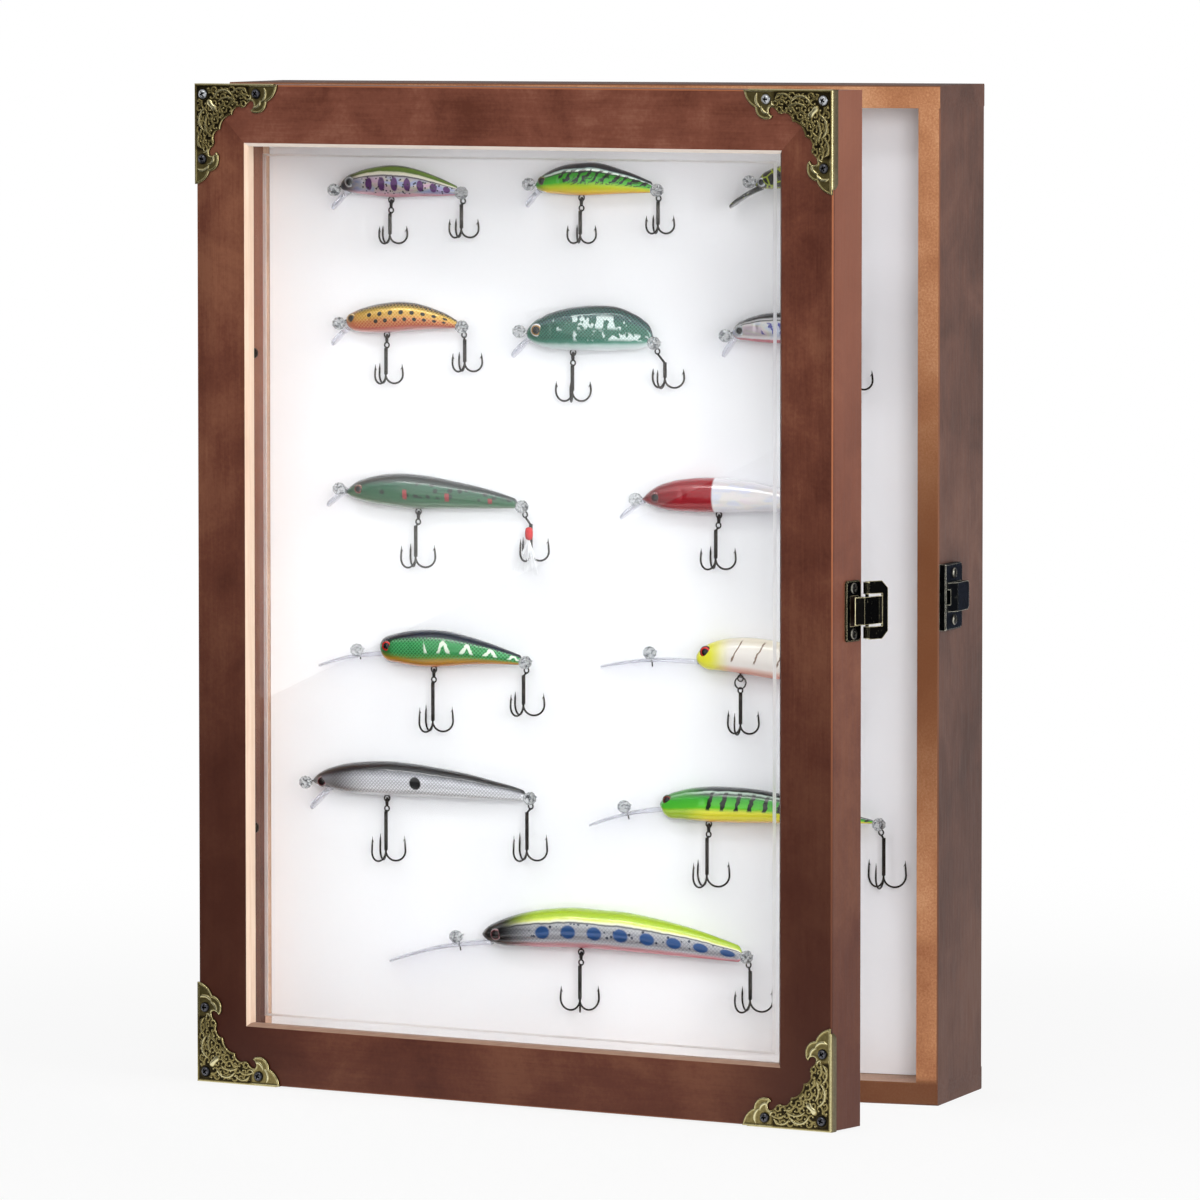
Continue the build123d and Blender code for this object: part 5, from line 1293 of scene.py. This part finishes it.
def make_corners():
    """The four pressed corners, mirrored to the door's four corners."""
    look = antique_brass()
    points, height, rim, quads, border = corner_plate()
    tip = smooth_step(25.6, 27.4, points.max(1))
    wear = np.clip(0.2 + 0.3 * tip + height * 1.35, 0, 1)
    wear = np.where(rim < 0.3, 0.8, wear)
    front = np.column_stack([points, CORNER_T + height])
    back = np.column_stack([points, np.full(len(points), 0.02)])
    for name, sx, sz in (("bottom_left", -1, -1), ("top_left", -1, 1), ("bottom_right", 1, -1), ("top_right", 1, 1)):
        both = np.concatenate([front, back])
        shell = Surface()
        shell.points.append(door_corner(both, sx, sz))
        shell.pattern.append(np.column_stack([np.zeros(len(both)), np.concatenate([wear, 0 * wear])]))
        count = len(front)
        sides = np.column_stack([border, border[:, ::-1] + count])
        shell.faces = quads.tolist() + (quads[:, ::-1] + count).tolist() + sides.tolist()
        shell.slots = [0] * len(shell.faces)
        shell.count = len(both)
        for leg in (0, 1):
            fold, pattern = fold_points(leg)
            shell.grid(door_corner(fold, sx, sz), pattern)
        shell.build("corner_" + name + "_relief", [look], "door", "antique_brass", ["corner_" + name])


# ---------------------------------------------------------------- screws
def screw_head(radius, dome, cross):
    """A head over (distance, turn): a dome, less a cross-shaped recess that is deepest in the middle."""
    far = np.concatenate([np.linspace(0, 0.72, 20), [0.8, 0.88, 0.94, 0.98, 1.0]])[:, None]
    turn = np.linspace(0, 2 * np.pi, 48, endpoint=False)[None, :]
    x, y = far * np.cos(turn), far * np.sin(turn)
    shape = np.sqrt(np.clip(1 - (0.96 * far) ** 2, 0, 1)) + 0 * turn
    arm = np.minimum(np.abs(x), np.abs(y))
    reach = np.maximum(np.abs(x), np.abs(y))
    cut = (1 - smooth_step(0.1, 0.17, arm)) * (1 - smooth_step(0.42, 0.62, reach))
    height = dome * shape - cross * cut
    # The key that the screw colours read: 0 in the cross, about 0.45 at the rim, rising to about 0.85 on the crown;
    # the colour stops paint shade and highlights from it.
    relief = np.where(cut > 0.4, 0.0, 0.45 + 0.4 * smooth_step(0.3, 0.9, shape))
    head = np.stack([radius * x, radius * y, height], axis=-1)
    foot = np.stack(np.broadcast_arrays(radius * np.cos(turn), radius * np.sin(turn), np.array([[-0.25]])), axis=-1)
    pattern = np.stack([0 * relief, relief], axis=-1)
    return np.concatenate([head, foot]), np.concatenate([pattern, pattern[-1:]])


def stand(points, place, out, roll):
    """Sets a head on its place in metres, its own z along out and rolled about it."""
    out = unit(out)
    side = unit(np.cross((0, 0, 1.0), out))
    up = np.cross(out, side)
    c, s = math.cos(roll), math.sin(roll)
    a, b = c * side + s * up, -s * side + c * up
    return np.asarray(place) + MM * (points[..., :1] * a + points[..., 1:2] * b + points[..., 2:] * out)


def screw_group(name, look, head, spots, body, slot, node):
    """The heads of one group of screws. A spot is a place, the way out of the surface and the roll."""
    surface = Surface()
    for place, out, roll in spots:
        surface.grid(stand(head[0], place, out, roll), head[1], caps=False)
    surface.build(name, [look], body, slot, [node])


def make_screws():
    """Cross-headed screws of every group, each at its own roll."""
    door_out = on_door(np.array([0.0, -1.0, 0.0])) - on_door(np.zeros(3))
    right_out = on_door(np.array([1.0, 0.0, 0.0])) - on_door(np.zeros(3))
    bright, black = [], []
    for sx in (-1, 1):
        for sz in (-1, 1):
            for i, (u, v) in enumerate(CORNER_SCREWS):
                place = door_corner(np.array([u, v, CORNER_T]), sx, sz)
                group = bright if (sx, sz, i) in SHINY_SCREWS else black
                group.append((place, door_out, 0.5 * i + 0.3 * sx + 0.7 * sz))
    head = screw_head(2.0, 1.25, 0.85)
    screw_group("corner_screws_bright", screw_steel("screw_bright", "8f9296", "e4e6ea"), head, bright, "door",
                "black_steel", "corner_screws")
    screw_group("corner_screws_black", screw_steel("screw_black", "1c1c20", "6a6a70"), head, black, "door",
                "black_steel", "corner_screws")
    head = screw_head(2.1, 1.2, 0.9)
    # Latch and keeper screws: near black with a painted highlight round the rim and round the cross.
    rim_highlight_look = dark_screw("screw_rubbed")
    latch = [(on_door(np.array([SIDE + 1.1 * MM, DOOR_FRONT + 14.0 * MM, LATCH_Z + dz * MM])), right_out, 0.4 + i)
             for i, dz in enumerate((-8.9, 8.9))]
    screw_group("latch_screw_heads", rim_highlight_look, head, latch, "door", "black_steel", "latch_screws")
    keeper = [((SIDE + 2.8 * MM, FRONT + 11.3 * MM, LATCH_Z + dz * MM), (1, 0, 0), 0.8 + i)
              for i, dz in enumerate((-9.3, 9.3))]
    screw_group("keeper_screw_heads", rim_highlight_look, head, keeper, "case", "black_steel", "keeper_screws")
    inner = SIDE - 14.0 * MM
    places = [(s * inner, z) for s in (-1, 1) for z in (30.0 * MM, HEIGHT / 2, HEIGHT - 30.0 * MM)]
    panel = [((x, PANEL_BACK, z), (0, 1, 0), 0.7 * i) for i, (x, z) in enumerate(places + [(0.0, 14.0 * MM)])]
    screw_group("back_panel_screw_heads", screw_steel("screw_zinc", "9a9c98", "d8dad8"), screw_head(2.6, 1.5, 1.0),
                panel, "case", "zinc_steel", "back_panel_screws")


# ---------------------------------------------------------------- latch spring
def make_spring():
    """A coil round the pin with two straight legs."""
    joint = np.array(JOINTS["latch_rock"]["pos_m"])
    coil = hoop((0, 0, 0), 1.1 * MM, (0, 0, 1), 4.5, 4.5 * MM, 20)
    surface = Surface().grid(tube(coil + joint, SPRING_WIRE, (0, 0, 1), 8))
    for start, reach in ((coil[0], 3.2), (coil[-1], 0.9)):
        leg = start + np.linspace(0, 1, 4)[:, None] * np.array([0, -reach, 0]) * MM
        surface.grid(tube(leg + joint, SPRING_WIRE, (0, 0, 1), 8))
    look = brushed_metal("spring_steel", "b8bac0", 0.25)
    surface.build("latch_spring_coil", [look], "door", "zinc_steel", ["latch_spring"])


# ---------------------------------------------------------------- feather
def make_feather():
    """White hackles and a red thread on the third row's tail hook: thin tapering blades that fan out and bend."""
    lure = next(item for item in LURES if item.name == "lure_feather_tail")
    x, z = -26.6, 224.0
    foot_y = lure.y - 2.0
    thread = Surface()
    line = np.array([[x, foot_y, z + dz] for dz in (2.6, 2.2, 0.8, -0.8, -2.2, -2.6)])
    wide = np.array([0.5, 1.3, 1.6, 1.6, 1.3, 0.5]) * MM
    thread.grid(rings(line * MM, (1, 0, 0), (0, 1, 0), wide, wide, 20))
    red = Recipe("red_thread")
    # The thread's colour follows the same wave as its bump: paler on each turn's crest and darker in the grooves
    # between, a painted shade.
    wind = red.maths("SINE", red.times(red.parts(red.place())[2], 14000.0))
    red.shade(Base_Color=red.mix(red.span(wind, -1, 1), rgb("a80f14"), rgb("e0282c")), Roughness=0.5,
              Normal=red.bump(wind, 0.4, 0.1 * MM))
    thread.build("red_thread", [red.material], "case", "lure_paint", ["lure_feather_tail"])
    down = Surface()
    rng = np.random.default_rng(7)
    t = np.linspace(0, 1, 8)
    count = 46
    for lean, depth, length in zip(rng.uniform(-0.42, 0.3, count), rng.uniform(-0.3, 0.2, count),
                                   rng.uniform(9, 15, count)):
        sideways = x + length * (lean * t + 0.12 * lean * t ** 2)
        path = np.stack([sideways, foot_y + length * depth * t, z - 2 - length * t], axis=-1)
        blade = 0.16 * np.sqrt(np.clip(1 - t ** 3, 0.0, 1)) + 0.01
        down.grid(rings(path * MM, (1, 0, 0), (0, 1, 0), blade * MM, 0.05 * MM, 5))
    white = Recipe("white_hackle")
    streak = white.noise(white.place(scale=(1, 1, 0.2)), 900, 2)
    white.shade(Base_Color=white.mix(streak, rgb("e6e8ee"), rgb("fafafc")), Roughness=0.7, Sheen_Weight=0.3,
                Normal=white.bump(streak, 0.2, 0.05 * MM))
    down.build("white_hackles", [white.material], "case", "lure_paint", ["lure_feather_tail"])


# ---------------------------------------------------------------- finishes of the CAD nodes
def finish(material, *names):
    """Gives CAD nodes a material."""
    for name in names:
        NODES[name].data.materials.clear()
        NODES[name].data.materials.append(material)


def finish_nodes():
    """Every CAD node's look. A door board's row is its node, look, stain, grain, sight side, the sight edge's two
    colours of painted light and shift.
    """
    upright, level = (1, 1, 0.045), (0.045, 1, 1)
    for node, look, *settings in (
            ("door_left_stile", "door_stile_left_wood", DOOR_STAIN, upright, "X", "d2b095", "ecd6c2", (0.3, 0, 0)),
            ("door_right_stile", "door_stile_right_wood", DOOR_STAIN, upright, "X", "4a241a", "5c3024", (1.1, 0, 0.4)),
            ("door_top_rail", "door_rail_top_wood", TOP_RAIL_PAINTED_LIGHT_STAIN, level, "Z", "e6d4c6", "f6ece4", (0, 0, 0.7)),
            ("door_bottom_rail", "door_rail_bottom_wood", DOOR_STAIN, level, "Z", "8d6c5a", "b2927e", (0, 0, 1.7))):
        finish(door_wood(look, *settings), node)
    finish(case_wood("case_side_wood", upright, shift=(2.0, 0, 0)), "case_left_side", "case_right_side")
    finish(case_wood("case_cap_wood", level, shift=(0, 0, 2.7)), "case_top", "case_bottom")
    pine = wood("batten_pine", ("b08c60", "c2a478", "d4ba90"), level, edge="dcc8a4")
    finish(finished(*pine), "board_battens")
    finish(hardboard(), "back_panel")
    finish(foam_board(), "display_board")
    finish(float_glass(), "glass_pane")
    hinge = brushed_metal("hinge_brass_brushed", "c8a860", 0.3)
    finish(hinge, "hinge_case_leaves", "hinge_door_leaves", "hinge_pins", "hinge_case_screws", "hinge_door_screws")
    bronze = rubbed_bronze("latch_bronze", "0a0908", "f0e4b8", 0.95)
    finish(bronze, "latch_base", "latch_lever", "latch_pin")
    finish(rubbed_bronze("keeper_steel", "0e0f12", "f0ecd8", 0.95), "keeper")
    finish(rubbed_bronze("blackened_points", "141416", "5a5a5c", 0.5), "glass_points")
    zinc = brushed_metal("bright_zinc", "c4c6c8", 0.32, (0.1, 1, 1))
    finish(zinc, "wall_hangers", "hanger_nails")


# ---------------------------------------------------------------- stage, lamps and camera
CAMERA_PLACE = (1.2316, -3.5180, 0.4609)
CAMERA_LOOK = (-0.33009, 0.94130, -0.07073)
CAMERA_LENS = 276.5
FLOOR_REACH = 6.0


def seen_white(name, near, far):
    """A floor that cameras, mirrors and glass see mostly as plain white, wholly so away from the object's shadow."""
    r = Recipe(name)
    grain = r.noise(r.place(), 3, 2)
    r.shade(Base_Color=r.mix(grain, (0.9, 0.9, 0.9, 1), (0.94, 0.94, 0.94, 1)), Roughness=0.9,
            Normal=r.bump(grain, 0.02, 0.5 * MM))
    rays = r.add("ShaderNodeLightPath", {}).outputs
    any_ray = r.larger(rays["Is Camera Ray"], rays["Is Glossy Ray"])
    bounced = r.maths("MINIMUM", rays["Diffuse Depth"], 1.0)
    through = r.times(rays["Is Transmission Ray"], r.minus(1.0, r.times(bounced, 0.5)))
    any_ray = r.larger(any_ray, through)
    glow = r.add("ShaderNodeEmission", {"Color": WHITE, "Strength": 1.0})
    reach = r.add("ShaderNodeVectorMath", {0: r.place()}, operation="LENGTH").outputs["Value"]
    share = r.span(reach, 0.25, 0.9, near, far)
    r.show(r.times(any_ray, share), r.shader, glow)
    return r.material


def stage_sheet(name, corners, material):
    """A flat sheet outside the object. Its pattern runs along its first side and up its second."""
    mesh = bpy.data.meshes.new(name)
    mesh.from_pydata(np.asarray(corners, float).tolist(), [], [(0, 1, 2, 3)])
    layer = mesh.uv_layers.new(name="pattern")
    layer.data.foreach_set("uv", [0.0, 0.0, 1.0, 0.0, 1.0, 1.0, 0.0, 1.0])
    mesh.materials.append(material)
    item = bpy.data.objects.new(name, mesh)
    bpy.context.scene.collection.objects.link(item)


def make_stage():
    """The white floor."""
    corners = [(-FLOOR_REACH, -FLOOR_REACH, 0), (FLOOR_REACH, -FLOOR_REACH, 0), (FLOOR_REACH, FLOOR_REACH, 0),
               (-FLOOR_REACH, FLOOR_REACH, 0)]
    stage_sheet("floor", corners, seen_white("studio_floor", 0.86, 1.0))


def card(name, corners, glow):
    """A flat card that is seen only by rays that have been mirrored."""
    r = Recipe(name)
    light = r.add("ShaderNodeEmission", {"Color": WHITE, "Strength": glow(r)})
    clear = r.add("ShaderNodeBsdfTransparent", {"Color": WHITE})
    rays = r.add("ShaderNodeLightPath", {}).outputs
    turned_back = r.maths("MINIMUM", r.minus(rays["Ray Depth"], rays["Transmission Depth"]), 1.0)
    r.show(r.times(rays["Is Glossy Ray"], turned_back), clear, light)
    stage_sheet(name, corners, r.material)


def make_cards():
    """A tall pale card in front of the case, on its left, bright at its slanting foot and fading upwards, and two dark
    ones: a standing one behind it and one on the floor between that and the case."""
    middle = np.array([-1.47337, -1.43852, 0.06058])
    right = np.array([-0.67887, 0.73425, 0.0])
    up = np.array([-0.05193, -0.04801, 0.99761])
    out = unit(middle * (1, 1, 0))
    # its foot runs through two places, in metres right of and above its middle
    foot = np.array([[0.30, -0.1315], [-0.24, 0.1314]])
    top = foot + (0.0, 0.42)
    flat = np.concatenate([foot, top[::-1]])

    def pale(r):
        along, height = r.pattern()
        fade = r.maths("POWER", r.span(height, 0.0, 1.0, 1.0, 0.0), 1.3)
        return r.times(r.times(fade, r.span(along, 0.45, 1.0, 1.0, 0.15)), 1.2)

    def dark(r):
        return r.span(r.noise(r.place(), 4, 2), 0.3, 0.7, 0.02, 0.04)

    card("reflection_card", middle + flat[:, :1] * right + flat[:, 1:] * up, pale)
    low, high = np.array([0, 0, 0.001]), np.array([0, 0, 1.2])
    near, far = out * 0.22, middle * (1, 1, 0) + out * 0.1
    far_right, far_left = far + 1.1 * right, far - 0.9 * right
    card("dark_card", [far_right + low, far_left + low, far_left + high, far_right + high], dark)
    floor = [near + 0.45 * right, near - 0.25 * right, far_left, far_right]
    card("dark_floor_card", [corner + low for corner in floor], dark)


def make_world(level):
    """A white room light, seen as plain white by the camera and through glass."""
    world = bpy.data.worlds.new("studio_world")
    bpy.context.scene.world = world
    world.use_nodes = True
    tree = world.node_tree

    def add(kind, first, second=None, **values):
        node = tree.nodes.new(kind)
        for key, value in values.items():
            node.inputs[key.replace("_", " ")].default_value = value
        tree.links.new(first, node.inputs[0])
        if second:
            tree.links.new(second, node.inputs[1])
        return node

    rays = tree.nodes.new("ShaderNodeLightPath").outputs
    bounced = add("ShaderNodeMapRange", rays["Diffuse Depth"], To_Min=1.0, To_Max=0.5)
    through = add("ShaderNodeMath", rays["Is Transmission Ray"], bounced.outputs[0])
    through.operation = "MULTIPLY"
    seen = add("ShaderNodeMath", rays["Is Camera Ray"], through.outputs[0])
    seen.operation = "MAXIMUM"
    strength = add("ShaderNodeMapRange", seen.outputs[0], To_Min=level, To_Max=1.0)
    back = tree.nodes["Background"]
    back.inputs["Color"].default_value = WHITE
    tree.links.new(strength.outputs[0], back.inputs["Strength"])


def lamp(name, place, aim, width, height, power, gloss=True):
    """An area lamp that faces its aim. One without gloss lights surfaces but isn't mirrored in them."""
    data = bpy.data.lights.new(name, "AREA")
    data.shape = "RECTANGLE"
    data.size, data.size_y, data.energy = width, height, power
    item = bpy.data.objects.new(name, data)
    item.location = place
    item.rotation_euler = (Vector(aim) - Vector(place)).to_track_quat("-Z", "Y").to_euler()
    item.visible_glossy = gloss
    bpy.context.scene.collection.objects.link(item)


def make_camera():
    """A camera whose place, direction and lens were fitted to the photo."""
    data = bpy.data.cameras.new("camera")
    data.lens, data.sensor_width = CAMERA_LENS, 36.0
    data.clip_start, data.clip_end = 0.1, 50.0
    item = bpy.data.objects.new("camera", data)
    item.location = CAMERA_PLACE
    item.rotation_euler = Vector(CAMERA_LOOK).to_track_quat("-Z", "Y").to_euler()
    bpy.context.scene.collection.objects.link(item)
    bpy.context.scene.camera = item


make_camera()
make_stage()
make_cards()
make_world(0.52)
lamp("key", (1.6, -3.3, 0.85), (0, 0, 0.2), 1.4, 1.4, 51, gloss=False)
lamp("side", (3.0, -1.2, 0.9), (0, 0, 0.2), 1.8, 1.8, 50)
lamp("top_strip", (-0.5, -2.6, 2.7), (0, 0, 0.2), 1.8, 0.45, 16)
bpy.context.scene.view_settings.view_transform = "Standard"

finish_nodes()
make_lures()
make_corners()
make_screws()
make_spring()
make_feather()
